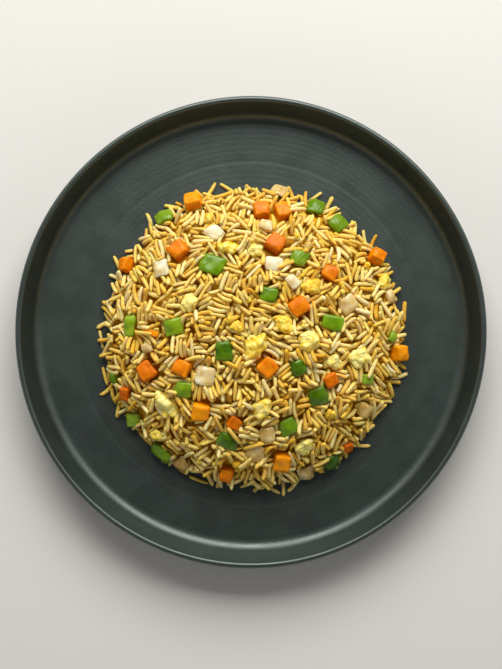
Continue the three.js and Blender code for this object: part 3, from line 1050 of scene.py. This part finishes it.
BITS = [
    Bit(Slot.CARROT, -72.5, -35.5, 80, 8, 6, Look(0.15)),
    Bit(Slot.CARROT, 45, -27, 30, 8, 7, Look(0.2)),
    Bit(Slot.CARROT, 56, -66.5, 10, 6, 6, Look(0.1)),
    Bit(Slot.PEPPER, -79, -26.5, 75, 7, 5, Look(0.5)),
    Bit(Slot.PEPPER, 66.5, -26.5, 0, 7, 6.5, Look(0.7, 0.6)),
    Bit(Slot.PEPPER, 81.5, -2.5, 60, 7, 5, Look(0.7, 0.5)),
    Bit(Slot.ONION, 23.5, 28.5, 130, 8.5, 7, Look(0.7)),
    Bit(Slot.ONION, 80.5, 21, 110, 8, 6, Look(0.5)),
    Bit(Slot.ONION, -58.5, -9, 20, 7, 6.5, Look(0.45)),
    Bit(Slot.EGG, -25, 65, 15, 7, 6, Look(0.6)),
    Bit(Slot.EGG, -7, -76, 0, 6.5, 6, Look(0.35)),
    Bit(Slot.EGG, -8, 3, 10, 7, 6, Look(0.35)),
    Bit(Slot.EGG, 67, 37.5, 0, 6, 5.5, Look(0.45)),
    Bit(Slot.EGG, -54, -59, 30, 7, 6, Look(0.6)),
    Bit(Slot.EGG, 44, -47, -20, 8, 6, Look(0.3)),
    Bit(Slot.EGG, 18.5, 4.5, -30, 11, 8, Look(0.55)),
    Bit(Slot.ONION, 9, 60.5, -20, 9.5, 7, Look(0.55)),
    Bit(Slot.CARROT, -56, -0.5, -10, 9, 4.5, Look(0.95)),
]


@dataclass
class Toppings:
    """All the toppings: one piece for each node, and the small bits joined by kind."""

    dome: Dome
    finishes: dict[Slot, bpy.types.Material]
    seeds_for_kind: int = 30
    first_bit_seed: int = 400
    bit_thickness: float = 0.6
    bit_rise: float = 1.5
    bit_upright: float = 0.2

    def _from_bit(self, bit: Bit, seed: int) -> Surface:
        """Dresses a small bit where it lies on the dome.

        Args:
            bit: The bit.
            seed: Number that makes it differ from the others.

        Returns:
            Its surface.
        """
        form = bmesh.new()
        thickness = ((bit.length + bit.width) / 2) * self.bit_thickness
        if bit.kind is Slot.EGG:
            bmesh.ops.create_icosphere(form, subdivisions=2, radius=0.5)
        else:
            bmesh.ops.create_cube(form, size=1)
        sky = Vector((0, 0, 1))
        up = self.dome.normal(bit.x, bit.y).lerp(sky, self.bit_upright).normalized()
        lay = sky.rotation_difference(up).to_matrix().to_4x4()
        turn = Matrix.Rotation(math.radians(bit.turn), 4, "Z")
        at = Vector((bit.x, bit.y, float(self.dome.top(bit.x, bit.y)) + self.bit_rise))
        scale = Matrix.Diagonal((bit.length * MM, bit.width * MM, thickness * MM, 1))
        form.transform(Matrix.Translation(at * MM) @ lay @ turn @ scale)
        return dress(form, CUTS[bit.kind], bit.look, seed)

    def build(self) -> list[Surface]:
        """Builds every topping.

        Returns:
            The surfaces, which the rice is laid round.
        """
        surfaces = []
        for rank, (kind, looks) in enumerate(LOOKS.items()):
            finish = self.finishes[kind]
            for number, look in enumerate(looks, 1):
                node = f"{kind.value}_{number:02d}"
                form = bmesh.new()
                form.from_mesh(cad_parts[node].data)
                surfaces.append(dress(form, CUTS[kind], look, number + self.seeds_for_kind * rank))
                settle(surfaces[-1].to_object(f"{node}_cut"), finish, node)
            chosen = [(bit, self.first_bit_seed + i) for i, bit in enumerate(BITS) if bit.kind is kind]
            bits = [self._from_bit(*pair) for pair in chosen]
            surfaces.extend(bits)
            settle(join(bits).to_object(f"{kind.value}_bits"), finish, "rice_mound")
        return surfaces


# Rice


def neighbours(grid: np.ndarray) -> list[np.ndarray]:
    """Returns a grid moved by one cell to each of its four sides."""
    return [np.roll(grid, step, axis) for axis in (0, 1) for step in (-1, 1)]


class HeightField:
    """Heights of what lies on the plate on a square grid, and which grain is on top, in millimetres."""

    def __init__(self, dome: Dome, half: float, cell: float, floor_z: float) -> None:
        """Makes a level field.

        Args:
            dome: The dome that the grid is centred on.
            half: Half of the grid's side.
            cell: Side of a cell.
            floor_z: Height of the plate's floor.
        """
        self.cell = cell
        self.low = np.array([dome.x - half, dome.y - half])
        self.count = int(2 * half / cell) + 1
        along = np.arange(self.count) * cell
        self.x, self.y = np.meshgrid(self.low[0] + along, self.low[1] + along, indexing="ij")
        self.height = np.full_like(self.x, floor_z)
        self.owner = np.full(self.x.shape, -1)
        self.covered = np.zeros(self.x.shape, bool)
        self.top_of_covers = self.height.copy()

    def cells(self, x: Any, y: Any) -> tuple[np.ndarray, np.ndarray]:
        """Finds the grid cells that hold points.

        Args:
            x: The points' places along X.
            y: The points' places along Y.

        Returns:
            The cells' numbers along X and Y, kept inside the grid.
        """
        i = np.rint((np.asarray(x) - self.low[0]) / self.cell).astype(int)
        j = np.rint((np.asarray(y) - self.low[1]) / self.cell).astype(int)
        last = self.count - 1
        return np.clip(i, 0, last), np.clip(j, 0, last)

    def _window(self, low: np.ndarray, high: np.ndarray) -> tuple[slice, slice]:
        """Returns the block of cells from one corner to another, seen from above."""
        (i0, j0), (i1, j1) = self.cells(*low[:2]), self.cells(*high[:2])
        return slice(int(i0), int(i1) + 1), slice(int(j0), int(j1) + 1)

    def cover(self, surface: Surface) -> None:
        """Marks the cells under a topping and notes the topping's top over them.

        Args:
            surface: The topping's surface.
        """
        tree = BVHTree.FromPolygons(surface.points.tolist(), surface.faces)
        rows, columns = self._window(surface.points.min(axis=0), surface.points.max(axis=0))
        above = surface.points[:, 2].max() + 1
        for i in range(rows.start, rows.stop):
            for j in range(columns.start, columns.stop):
                hit = tree.ray_cast(Vector((self.x[i, j], self.y[i, j], above)), Vector((0, 0, -1)))[0]
                if hit is not None:
                    self.covered[i, j] = True
                    self.top_of_covers[i, j] = max(self.top_of_covers[i, j], hit.z)

    def inner_cover(self) -> np.ndarray:
        """Returns the covered cells that have covered cells on all four sides."""
        return self.covered & np.all(neighbours(self.covered), axis=0)

    def stamp(
        self, at: np.ndarray, heading: np.ndarray, slope: float, half: float, radius: float, mark: int
    ) -> None:
        """Raises the field by a rod that lies on it.

        Args:
            at: Middle of the rod.
            heading: Its direction seen from above.
            slope: Rise for each millimetre of its way seen from above.
            half: Half of its length seen from above.
            radius: Its radius.
            mark: Number to note for the cells where it is on top.
        """
        reach = half + radius
        window = self._window(at - reach, at + reach)
        dx, dy = self.x[window] - at[0], self.y[window] - at[1]
        along = dx * heading[0] + dy * heading[1]
        across = -dx * heading[1] + dy * heading[0]
        beyond = np.maximum(np.abs(along) - (half - radius), 0)
        room = radius**2 - across**2 - beyond**2
        top = at[2] + slope * along + np.sqrt(np.maximum(room, 0))
        raised = (room > 0) & (top > self.height[window])
        self.height[window] = np.where(raised, top, self.height[window])
        self.owner[window] = np.where(raised, mark, self.owner[window])


class Grain(NamedTuple):
    """A grain as it was laid: its middle, its direction seen from above, its slope and its size."""

    x: float
    y: float
    z: float
    angle: float
    slope: float
    length: float
    radius: float


@dataclass
class Grains:
    """Places and sizes of grains, one row for each, in millimetres."""

    at: np.ndarray
    heading: np.ndarray
    slope: np.ndarray
    length: np.ndarray
    radius: np.ndarray

    def __len__(self) -> int:
        """Returns the number of grains."""
        return len(self.length)

    def take(self, which: np.ndarray) -> "Grains":
        """Picks out some of the grains.

        Args:
            which: Numbers of their rows.

        Returns:
            The chosen grains.
        """
        return Grains(
            self.at[which], self.heading[which], self.slope[which], self.length[which], self.radius[which]
        )


@dataclass(frozen=True)
class GrainForm:
    """Form of cooked grains: blunt rods, each tapered, rolled and bent in its own way."""

    rings: tuple[float, ...] = (-0.99, -0.92, -0.74, -0.28, 0.28, 0.74, 0.92, 0.99)
    sides: int = 8
    bluntness: Span = (4.0, 14.0)
    taper: float = 0.16
    waist: float = 0.025
    thickness: Span = (0.82, 1.0)
    bend: Span = (0.12, 0.36)
    bend_length: float = 9.0
    bend_level: float = 0.35
    lean: Span = (-0.2, 0.5)

    def points(self, grains: Grains, draw: np.random.Generator) -> np.ndarray:
        """Shapes grains that lie along X round the origin.

        Args:
            grains: The grains.
            draw: Source of random numbers.

        Returns:
            Points of each grain: ring by ring, then its two tips.
        """
        each = (len(grains), 1, 1)
        share = np.array(self.rings)[None, :, None]
        length, radius = grains.length[:, None, None], grains.radius[:, None, None]
        blunt = draw.uniform(*self.bluntness, each)
        taper = draw.uniform(-self.taper, self.taper, each)
        waist = 1 + draw.normal(0, self.waist, (len(grains), len(self.rings), 1))
        girth = radius * (1 - np.abs(share) ** blunt) ** 0.5 * (1 + taper * share) * waist
        around = (np.arange(self.sides) * math.tau / self.sides)[None, None, :]
        thickness = draw.uniform(*self.thickness, each)
        roll = draw.uniform(0, math.pi, each)
        wide, thick = np.cos(around) * girth, np.sin(around) * girth * thickness
        across = wide * np.cos(roll) - thick * np.sin(roll)
        over = wide * np.sin(roll) + thick * np.cos(roll)
        bend = np.abs(draw.normal(*self.bend, each)) * (length / self.bend_length) ** 2
        lean = draw.choice((0.0, math.pi), each) + draw.normal(*self.lean, each)

        def middle_line(share: np.ndarray) -> list[np.ndarray]:
            """Returns points of the bent middle line along, across and over the grain."""
            sag = bend * (share**2 - self.bend_level)
            return [share * (length / 2), sag * np.cos(lean), sag * np.sin(lean)]

        girths = [np.zeros_like(across), across, over]
        body = [line + girth for line, girth in zip(middle_line(share), girths)]
        tips = middle_line(np.array([-1.0, 1.0])[None, :, None])
        pairs = [[part.reshape(len(grains), -1) for part in pair] for pair in zip(body, tips)]
        return np.stack([np.concatenate(pair, axis=1) for pair in pairs], axis=-1)

    def faces(self, count: int) -> list[tuple[int, ...]]:
        """Lists the faces of a number of grains.

        Args:
            count: How many grains there are.

        Returns:
            The faces, grain by grain.
        """
        each = len(self.rings) * self.sides + 2
        template = [tuple(reversed(face)) for face in lathe_faces(len(self.rings), self.sides)]
        return [tuple(v + n * each for v in face) for n in range(count) for face in template]


class GrainKind(NamedTuple):
    """One kind of grain: its share of the heap and its finish, which its piece is named after."""

    share: float
    finish: FoodFinish


GOLDEN = GrainKind(0.46, rice_finish("rice_golden", (227, 179, 54), (241, 207, 109), (248, 222, 152)))
PALE = GrainKind(0.30, rice_finish("rice_pale", (235, 194, 86), (246, 216, 138), (250, 229, 178)))
BROWNED = GrainKind(0.24, rice_finish("rice_browned", (215, 162, 46), (232, 191, 90), (241, 208, 120)))
GRAIN_KINDS = (GOLDEN, PALE, BROWNED)
# The bed's colours are darker and more saturated than the grains': painted shade of the gaps, over the rice
# beneath.
BED_SHADE_FINISH = rice_finish("rice_bed_shade", (206, 152, 14), (222, 172, 28), (236, 190, 52))


@dataclass
class RiceHeap:
    """The heap of rice: a bed under loose grains that rest on one another and on the plate. The bed stands
    for the rice beneath and is coloured darker than the grains as painted shade of the gaps.
    """

    dome: Dome
    plate: Plate
    form: GrainForm = GrainForm()
    seed: int = 23
    grid_half: float = 98.0
    cell: float = 0.5
    bed_depth: float = 4.8
    bed_radius: float = 82.0
    bed_rings: int = 64
    bed_turns: int = 200
    bed_relief: float = 0.8
    bed_bump: float = 2.6
    bed_shade_tone: float = 0.3
    grain_length: Span = (9.2, 13.2)
    broken_length: Span = (4.2, 6.5)
    broken_share: float = 0.08
    grain_radius: Span = (1.04, 1.34)
    most_grains: int = 5200
    most_misses: int = 4000
    least_room: float = 0.1
    choices: int = 3
    rim_grains: int = 150
    rim_radii: Span = (82.0, 89.4)
    rim_shown_from: float = 76.0
    least_cells_seen: int = 2
    edge_margin: float = 1.5
    lift: float = 1.1
    unevenness: float = 1.0
    uneven_waves: Span = (12.0, 34.0)
    uneven_count: int = 14
    uneven_fade: float = 12.0
    steepest: float = 1.45
    highest_over: float = 1.9
    highest_over_topping: float = 3.0
    beside_share: float = 0.45
    beside_gap: float = 2.05
    beside_slide: float = 1.8
    beside_turn: float = 0.16
    over_topping_share: float = 0.001
    crossing_points: int = 11
    most_under_topping: float = 0.3
    most_over_topping: float = 0.6
    topping_toll: float = 4.0
    rest_points: int = 15
    rest_width: float = 0.7
    rest_ease: float = 0.3
    sink: float = 0.5
    stamp_share: float = 0.92
    below_topping: float = 0.8
    ease_cells: int = 8
    ease_slope: float = 0.5
    floor_gap: float = 0.02
    tone: Span = (0.5, 0.2)
    tip_shade: float = 0.18
    painted_underside_shade: float = 0.32
    underside_from: float = 0.75
    pattern_room: float = 300.0
    sauce_and_shade_browning: float = 0.09
    sauce_and_shade_depths: Span = (-1.0, 4.0)
    crumbs: int = 22
    crumb_size: Span = (1.6, 3.6)
    crumb_stretch: Span = (1.0, 1.5)
    crumb_thickness: float = 0.7
    crumb_rise: float = 0.12
    crumb_margin: float = 6.0
    crumb_tones: Span = (0.3, 0.7)
    first_crumb_seed: int = 700

    def __post_init__(self) -> None:
        """Prepares the field and the source of random numbers."""
        self.draw = np.random.default_rng(self.seed)
        self.field = HeightField(self.dome, self.grid_half, self.cell, self.plate.floor_z)
        self.wanted = self._wanted_top()
        self.solid = self.field.covered
        self.laid: list[Grain] = []

    def _waves(self) -> np.ndarray:
        """Sums random plane waves over the grid.

        Returns:
            Values of about -1 to 1 for each cell.
        """
        total = np.zeros_like(self.field.x)
        for _ in range(self.uneven_count):
            heading, phase = self.draw.uniform(0, math.tau, 2)
            length = self.draw.uniform(*self.uneven_waves)
            way = self.field.x * math.cos(heading) + self.field.y * math.sin(heading)
            total += np.sin(math.tau * way / length + phase)
        return total / math.sqrt(self.uneven_count)

    def _wanted_top(self) -> np.ndarray:
        """Draws the uneven top that the heap is filled up to.

        Returns:
            Its height over each cell.
        """
        inward = self.dome.radius - self.dome.reach(self.field.x, self.field.y)
        uneven = self._waves() * self.unevenness * np.clip(inward / self.uneven_fade, 0, 1)
        return self.dome.top(self.field.x, self.field.y) + self.lift + uneven

    def _bed_top(self, x: Any, y: Any) -> Any:
        """Returns the height of the bed's top, the plate's floor outside it."""
        inside = self.dome.reach(x, y) < self.bed_radius
        return np.where(inside, self.dome.top(x, y) - self.bed_depth, self.plate.floor_z)

    def bed(self) -> Surface:
        """Builds the bed under the loose grains, darker as painted shade of the gaps, and raises the field to
        it.

        Returns:
            The bed's closed surface.
        """
        dome = self.dome
        shares = np.sin(np.linspace(0.5 / self.bed_rings, 1.0, self.bed_rings) * math.pi / 2)
        radii = shares * self.bed_radius
        angles = np.arange(self.bed_turns) * math.tau / self.bed_turns
        r, a = np.meshgrid(radii[::-1], angles, indexing="ij")
        x, y = dome.x + r * np.cos(a), dome.y + r * np.sin(a)
        spots = zip(x.ravel(), y.ravel())
        bumps = np.array([noise.noise(Vector((u, v, 0)) / self.bed_bump) for u, v in spots])
        z = np.maximum(self._bed_top(x, y) + self.bed_relief * bumps.reshape(x.shape), dome.base_z)
        z[0] = dome.base_z
        rings = np.stack([x, y, z], axis=-1).reshape(-1, 3)
        below = [dome.x, dome.y, dome.base_z]
        above = [dome.x, dome.y, float(self._bed_top(dome.x, dome.y))]
        points = np.concatenate([rings, [below, above]])
        self.field.height = np.maximum(self.field.height, self._bed_top(self.field.x, self.field.y))
        tone = {"tone": np.full(len(points), self.bed_shade_tone)}
        return Surface(points, lathe_faces(self.bed_rings, self.bed_turns), tone, {"local": points.copy()})

    def _rest(self, spot: np.ndarray, heading: np.ndarray, half: float, ground: np.ndarray) -> Span:
        """Finds how a rod rests on the field.

        Args:
            spot: Its middle seen from above.
            heading: Its direction seen from above.
            half: Half of its length.
            ground: Heights to rest on.

        Returns:
            Height of the line that it rests on at its middle, and that line's slope.
        """
        steps = np.linspace(-half, half, self.rest_points)
        rows = []
        for aside in (-self.rest_width, 0.0, self.rest_width):
            x = spot[0] + steps * heading[0] - aside * heading[1]
            y = spot[1] + steps * heading[1] + aside * heading[0]
            rows.append(ground[self.field.cells(x, y)] - self.rest_ease * abs(aside))
        heights = np.max(rows, axis=0)
        middle = self.rest_points // 2
        back, ahead = steps[:middle, None], steps[None, middle + 1 :]
        low, high = heights[:middle, None], heights[None, middle + 1 :]
        at_middle = (low * ahead - high * back) / (ahead - back)
        best = np.unravel_index(np.argmax(at_middle), at_middle.shape)
        slope = float(((high - low) / (ahead - back))[best])
        return max(float(at_middle[best]), float(heights[middle])), slope

    def _lower_beside_toppings(self) -> None:
        """Lowers the wanted top next to each topping, so that the topping stays in sight."""
        near = np.where(self.field.covered, self.field.top_of_covers, np.inf)
        for _ in range(self.ease_cells):
            near = np.minimum(near, np.min(neighbours(near), axis=0) + self.ease_slope * self.cell)
        self.wanted = np.minimum(self.wanted, near - self.below_topping)

    def _try_grain(self, spot: np.ndarray, angle: float) -> bool:
        """Lays one grain if it finds a fit place there.

        Args:
            spot: Its middle seen from above.
            angle: Its direction seen from above.

        Returns:
            True if it was laid.
        """
        broken = self.draw.random() < self.broken_share
        length = self.draw.uniform(*(self.broken_length if broken else self.grain_length))
        radius = self.draw.uniform(*self.grain_radius)
        over_topping = self.draw.random() < self.over_topping_share
        heading = np.array([math.cos(angle), math.sin(angle)])
        steps = np.linspace(-length / 2, length / 2, self.crossing_points)
        cells = self.field.cells(spot[0] + steps * heading[0], spot[1] + steps * heading[1])
        crossing = self.solid[cells]
        base, slope = self._rest(spot, heading, length / 2, self.field.height)
        tops = base + slope * steps + 2 * radius
        showing = crossing & (tops > self.field.top_of_covers[cells])
        if crossing.mean() > self.most_under_topping or showing.any():
            if not over_topping or crossing.mean() > self.most_over_topping:
                return False
            ground = np.maximum(self.field.height, self.field.top_of_covers)
            base, slope = self._rest(spot, heading, length / 2, ground)
        if abs(slope) > self.steepest:
            return False
        spare = self.highest_over + (self.highest_over_topping if showing.any() else 0.0)
        if base + 2 * radius > self.wanted[self.field.cells(*spot)] + spare:
            return False
        flat = (length / 2) / math.hypot(1, slope)
        at = np.array([spot[0], spot[1], base + radius * math.hypot(1, slope) - self.sink])
        self.field.stamp(at, heading, slope, flat, radius * self.stamp_share, len(self.laid))
        self.laid.append(Grain(*at, angle, slope, length, radius))
        return True

    def _beside(self, last: Grain) -> tuple[np.ndarray, float]:
        """Draws a place beside the last grain and a direction nearly parallel to it.

        Args:
            last: The grain that was laid last.

        Returns:
            The place seen from above, and the direction.
        """
        side = self.beside_gap * last.radius * self.draw.choice((-1, 1))
        slide = self.draw.normal(0, self.beside_slide)
        sin_a, cos_a = math.sin(last.angle), math.cos(last.angle)
        spot = np.array([last.x - side * sin_a + slide * cos_a, last.y + side * cos_a + slide * sin_a])
        return spot, last.angle + self.draw.normal(0, self.beside_turn)

    def _has_room(self, spot: np.ndarray) -> bool:
        """Tells whether a grain may lie at a spot.

        Args:
            spot: The spot seen from above.

        Returns:
            True if the spot is on the dome and isn't filled up.
        """
        cell = self.field.cells(*spot)
        inside = self.dome.reach(*spot) < self.dome.radius - self.edge_margin
        return inside and self.wanted[cell] - self.field.height[cell] >= self.least_room

    def _roomiest(self) -> np.ndarray | None:
        """Draws a few spots and picks the one with most room left.

        Returns:
            The spot seen from above, or None where all of them are filled up.
        """
        out = (self.dome.radius - self.edge_margin) * np.sqrt(self.draw.random(self.choices))
        turn = self.draw.uniform(0, math.tau, self.choices)
        x, y = self.dome.x + out * np.cos(turn), self.dome.y + out * np.sin(turn)
        cells = self.field.cells(x, y)
        room = self.wanted[cells] - self.field.height[cells] - self.topping_toll * self.solid[cells]
        best = int(np.argmax(room))
        return np.array([x[best], y[best]]) if room[best] >= self.least_room else None

    def lay(self) -> Grains:
        """Lays the grains: first a ring on the plate, then the heap, each where most room is left.

        Returns:
            The grains that can be seen.
        """
        self.solid = self.field.inner_cover()
        self._lower_beside_toppings()
        for _ in range(self.rim_grains):
            turn = self.draw.uniform(0, math.tau)
            spot = self.dome.spot(self.draw.uniform(*self.rim_radii), turn)
            self._try_grain(np.array(spot), self.draw.uniform(0, math.pi))
        misses = 0
        while len(self.laid) < self.most_grains and misses < self.most_misses:
            angle = self.draw.uniform(0, math.pi)
            if self.laid and self.draw.random() < self.beside_share:
                spot, angle = self._beside(self.laid[-1])
                if not self._has_room(spot):
                    continue
            else:
                spot = self._roomiest()
            if spot is not None and self._try_grain(spot, angle):
                misses = 0
            else:
                misses += 1
        table = np.array(self.laid)
        seen = np.bincount(self.field.owner[self.field.owner >= 0], minlength=len(table))
        near_rim = self.dome.reach(table[:, 0], table[:, 1]) > self.rim_shown_from
        shown = (seen >= self.least_cells_seen) | near_rim
        LOG.info("%d grains laid, %d seen", len(table), int(shown.sum()))
        table = table[shown]
        return Grains(table[:, :3], table[:, 3], table[:, 4], table[:, 5], table[:, 6])

    def grain_surface(self, grains: Grains) -> Surface:
        """Builds the meshes of grains in their places.

        Args:
            grains: The grains of one kind.

        Returns:
            One surface of all the grains.
        """
        count = len(grains)
        local = self.form.points(grains, self.draw)
        pitch = np.arctan(grains.slope)
        sin_a, cos_a = np.sin(grains.heading), np.cos(grains.heading)
        sin_p, cos_p = np.sin(pitch), np.cos(pitch)
        ahead = np.stack([cos_a * cos_p, sin_a * cos_p, sin_p], axis=-1)
        aside = np.stack([-sin_a, cos_a, np.zeros(count)], axis=-1)
        above = np.stack([-sin_p * cos_a, -sin_p * sin_a, cos_p], axis=-1)
        frames = np.stack([ahead, aside, above], axis=1)
        points = grains.at[:, None, :] + np.einsum("nvk,nkj->nvj", local, frames)
        points[..., 2] = np.maximum(points[..., 2], self.plate.floor_z + self.floor_gap)
        tone = np.clip(self.draw.normal(*self.tone, (count, 1)), 0, 1)
        tip_share = np.abs(local[..., 0]) / (grains.length[:, None] / 2)
        height = local[..., 2] / grains.radius[:, None]
        # Painted shade: the lower side of each grain gets a deeper tone.
        shade = self.painted_underside_shade * np.clip(self.underside_from - height, 0, 1)
        tone = np.clip(tone - self.tip_shade * tip_share**6 - shade, 0, 1)
        place = local + self.draw.uniform(0, self.pattern_room, (count, 1, 3))
        values = {"tone": tone.ravel()}, {"local": place.reshape(-1, 3)}
        return Surface(points.reshape(-1, 3), self.form.faces(count), *values)

    def _kinds_of(self, grains: Grains) -> np.ndarray:
        """Draws the kind of each grain: those that lie deeper in the heap are browned more often, partly for
        sauce that collects there and partly as painted shade of the depth.

        Args:
            grains: The grains.

        Returns:
            Number of each grain's kind.
        """
        depth = self.wanted[self.field.cells(grains.at[:, 0], grains.at[:, 1])] - grains.at[:, 2]
        # Deeper grains turn browned more often: partly sauce, partly painted shade of the depth.
        order = self.draw.random(len(grains)) - self.sauce_and_shade_browning * np.clip(depth, *self.sauce_and_shade_depths)
        bounds = np.quantile(order, [BROWNED.share, BROWNED.share + GOLDEN.share])
        golden, pale, browned = range(len(GRAIN_KINDS))
        return np.where(order < bounds[0], browned, np.where(order < bounds[1], golden, pale))

    def egg_crumbs(self) -> Surface:
        """Builds crumbs of egg that lie on the grains, clear of the toppings.

        Returns:
            One surface of all the crumbs.
        """
        made: list[Surface] = []
        while len(made) < self.crumbs:
            out = (self.dome.radius - self.crumb_margin) * math.sqrt(self.draw.random())
            x, y = self.dome.spot(out, self.draw.uniform(0, math.tau))
            cell = self.field.cells(x, y)
            if self.field.covered[cell]:
                continue
            size = self.draw.uniform(*self.crumb_size)
            form = bmesh.new()
            bmesh.ops.create_icosphere(form, subdivisions=2, radius=0.5)
            stretch = self.draw.uniform(*self.crumb_stretch)
            scale = Vector((size * stretch, size, size * self.crumb_thickness)) * MM
            spin = Matrix.Rotation(self.draw.uniform(0, math.pi), 4, "Z")
            at = Vector((x, y, self.field.height[cell] + size * self.crumb_rise)) * MM
            form.transform(Matrix.Translation(at) @ spin @ Matrix.Diagonal((*scale, 1)))
            look = Look(self.draw.uniform(*self.crumb_tones))
            made.append(dress(form, CRUMB_CUT, look, self.first_crumb_seed + len(made)))
        return join(made)

    def build(self, effects: Effects, toppings: list[Surface], egg: bpy.types.Material) -> None:
        """Builds the bed, the grains and the crumbs, all standing for the heap's node.

        Args:
            effects: The shared node groups.
            toppings: Surfaces of the toppings, which the grains keep clear of.
            egg: Finish of the crumbs.
        """
        settle(self.bed().to_object(BED_SHADE_FINISH.name), BED_SHADE_FINISH.build(effects), "rice_mound")
        for surface in toppings:
            self.field.cover(surface)
        grains = self.lay()
        kinds = self._kinds_of(grains)
        for number, kind in enumerate(GRAIN_KINDS):
            chosen = grains.take(np.flatnonzero(kinds == number))
            piece = self.grain_surface(chosen).to_object(kind.finish.name)
            settle(piece, kind.finish.build(effects), "rice_mound")
        settle(self.egg_crumbs().to_object("egg_crumbs"), egg, "rice_mound")


# Studio


@dataclass
class Studio:
    """A pale floor, a large soft light from beyond the plate, soft light all round and a camera overhead."""

    effects: Effects
    floor_side: float = 4.0
    floor_drop: float = 0.2 * MM
    floor_skin: Skin = Skin(specular=0.1, roughness=0.9)
    floor_clouds: float = 3.0
    floor_tones: tuple[Colour, Colour] = (screen_colour(222, 220, 215), screen_colour(228, 226, 221))
    light_elevation: float = 40.0
    light_distance: float = 1.3
    light_side: float = 0.78
    light_stretch: float = 1.7
    light_aside: float = 0.06
    light_power: float = 24.0
    light_tint: tuple[float, float, float] = (1.0, 0.985, 0.96)
    sky_low: float = 0.7
    sky_high: float = 0.1
    sky_fall: Span = (0.3, 0.7)
    sky_tint: Colour = (1.0, 0.99, 0.97, 1.0)
    camera_at: tuple[float, float, float] = (0.0001, -0.00127, 0.85)
    lens: float = 78.0
    sensor: float = 36.0

    def _floor(self) -> None:
        """Lays the pale floor."""
        half, z = self.floor_side / 2 / MM, -self.floor_drop / MM
        corners = np.array([[-half, -half, z], [half, -half, z], [half, half, z], [-half, half, z]])
        floor = Surface(corners, [(0, 1, 2, 3)]).to_object("studio_floor")
        coat = Coating("studio_floor", self.floor_skin, self.effects)
        place = coat.add("ShaderNodeTexCoord").outputs["Object"]
        clouds = coat.add("ShaderNodeTexNoise", {"Vector": place, "Scale": self.floor_clouds})
        floor.data.materials.append(coat.finish(coat.blend(clouds.outputs[0], *self.floor_tones)))

    def _light(self) -> None:
        """Hangs the large soft light on the far side."""
        lamp = bpy.data.lights.new("window", "AREA")
        lamp.shape = "RECTANGLE"
        lamp.size, lamp.size_y = self.light_side * self.light_stretch, self.light_side
        lamp.energy = self.light_power
        lamp.color = self.light_tint
        holder = bpy.data.objects.new("window", lamp)
        lean = math.radians(self.light_elevation)
        away = Vector((self.light_aside, math.cos(lean), math.sin(lean))).normalized()
        holder.location = away * self.light_distance
        holder.rotation_mode = "QUATERNION"
        holder.rotation_quaternion = away.to_track_quat("Z", "Y")
        bpy.context.scene.collection.objects.link(holder)

    def _sky(self) -> None:
        """Sets the light all round, which fades towards the top."""
        world = bpy.data.worlds.new("soft_sky")
        world.use_nodes = True
        world.node_tree.nodes.clear()
        graph = Graph(world.node_tree)
        way = graph.add("ShaderNodeTexCoord").outputs["Generated"]
        height = graph.add("ShaderNodeSeparateXYZ", {"Vector": way}).outputs["Z"]
        fall = {1: self.sky_fall[0], 2: self.sky_fall[1], 3: self.sky_low, 4: self.sky_high}
        strength = graph.add("ShaderNodeMapRange", {"Value": height, **fall}).outputs[0]
        background = graph.add("ShaderNodeBackground", {"Color": self.sky_tint, "Strength": strength})
        graph.add("ShaderNodeOutputWorld", {"Surface": background.outputs[0]})
        bpy.context.scene.world = world

    def _camera(self) -> None:
        """Puts the camera over the plate, looking straight down."""
        data = bpy.data.cameras.new("camera")
        data.lens = self.lens
        data.sensor_width = self.sensor
        camera = bpy.data.objects.new("camera", data)
        camera.location = self.camera_at
        bpy.context.scene.collection.objects.link(camera)
        bpy.context.scene.camera = camera

    def build(self) -> None:
        """Sets up the floor, the light, the camera and the plain view of colours."""
        self._floor()
        self._light()
        self._sky()
        self._camera()
        bpy.context.scene.view_settings.view_transform = "Standard"
        LOG.info("studio ready")


def main() -> None:
    """Builds the plate, the toppings, the rice and the studio."""
    logging.basicConfig(level=logging.INFO, format="%(message)s")
    effects = Effects()
    dome = Dome()
    plate = Plate()
    plate.build(StonewareFinish().build(effects))
    finishes = {
        slot: finish.build(effects)
        for slot, finish in zip(LOOKS, (CARROT, PepperFinish(), ONION, EGG))
    }
    surfaces = Toppings(dome, finishes).build()
    RiceHeap(dome, plate).build(effects, surfaces, finishes[Slot.EGG])
    Studio(effects).build()
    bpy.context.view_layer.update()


if __name__ == "__main__":
    main()
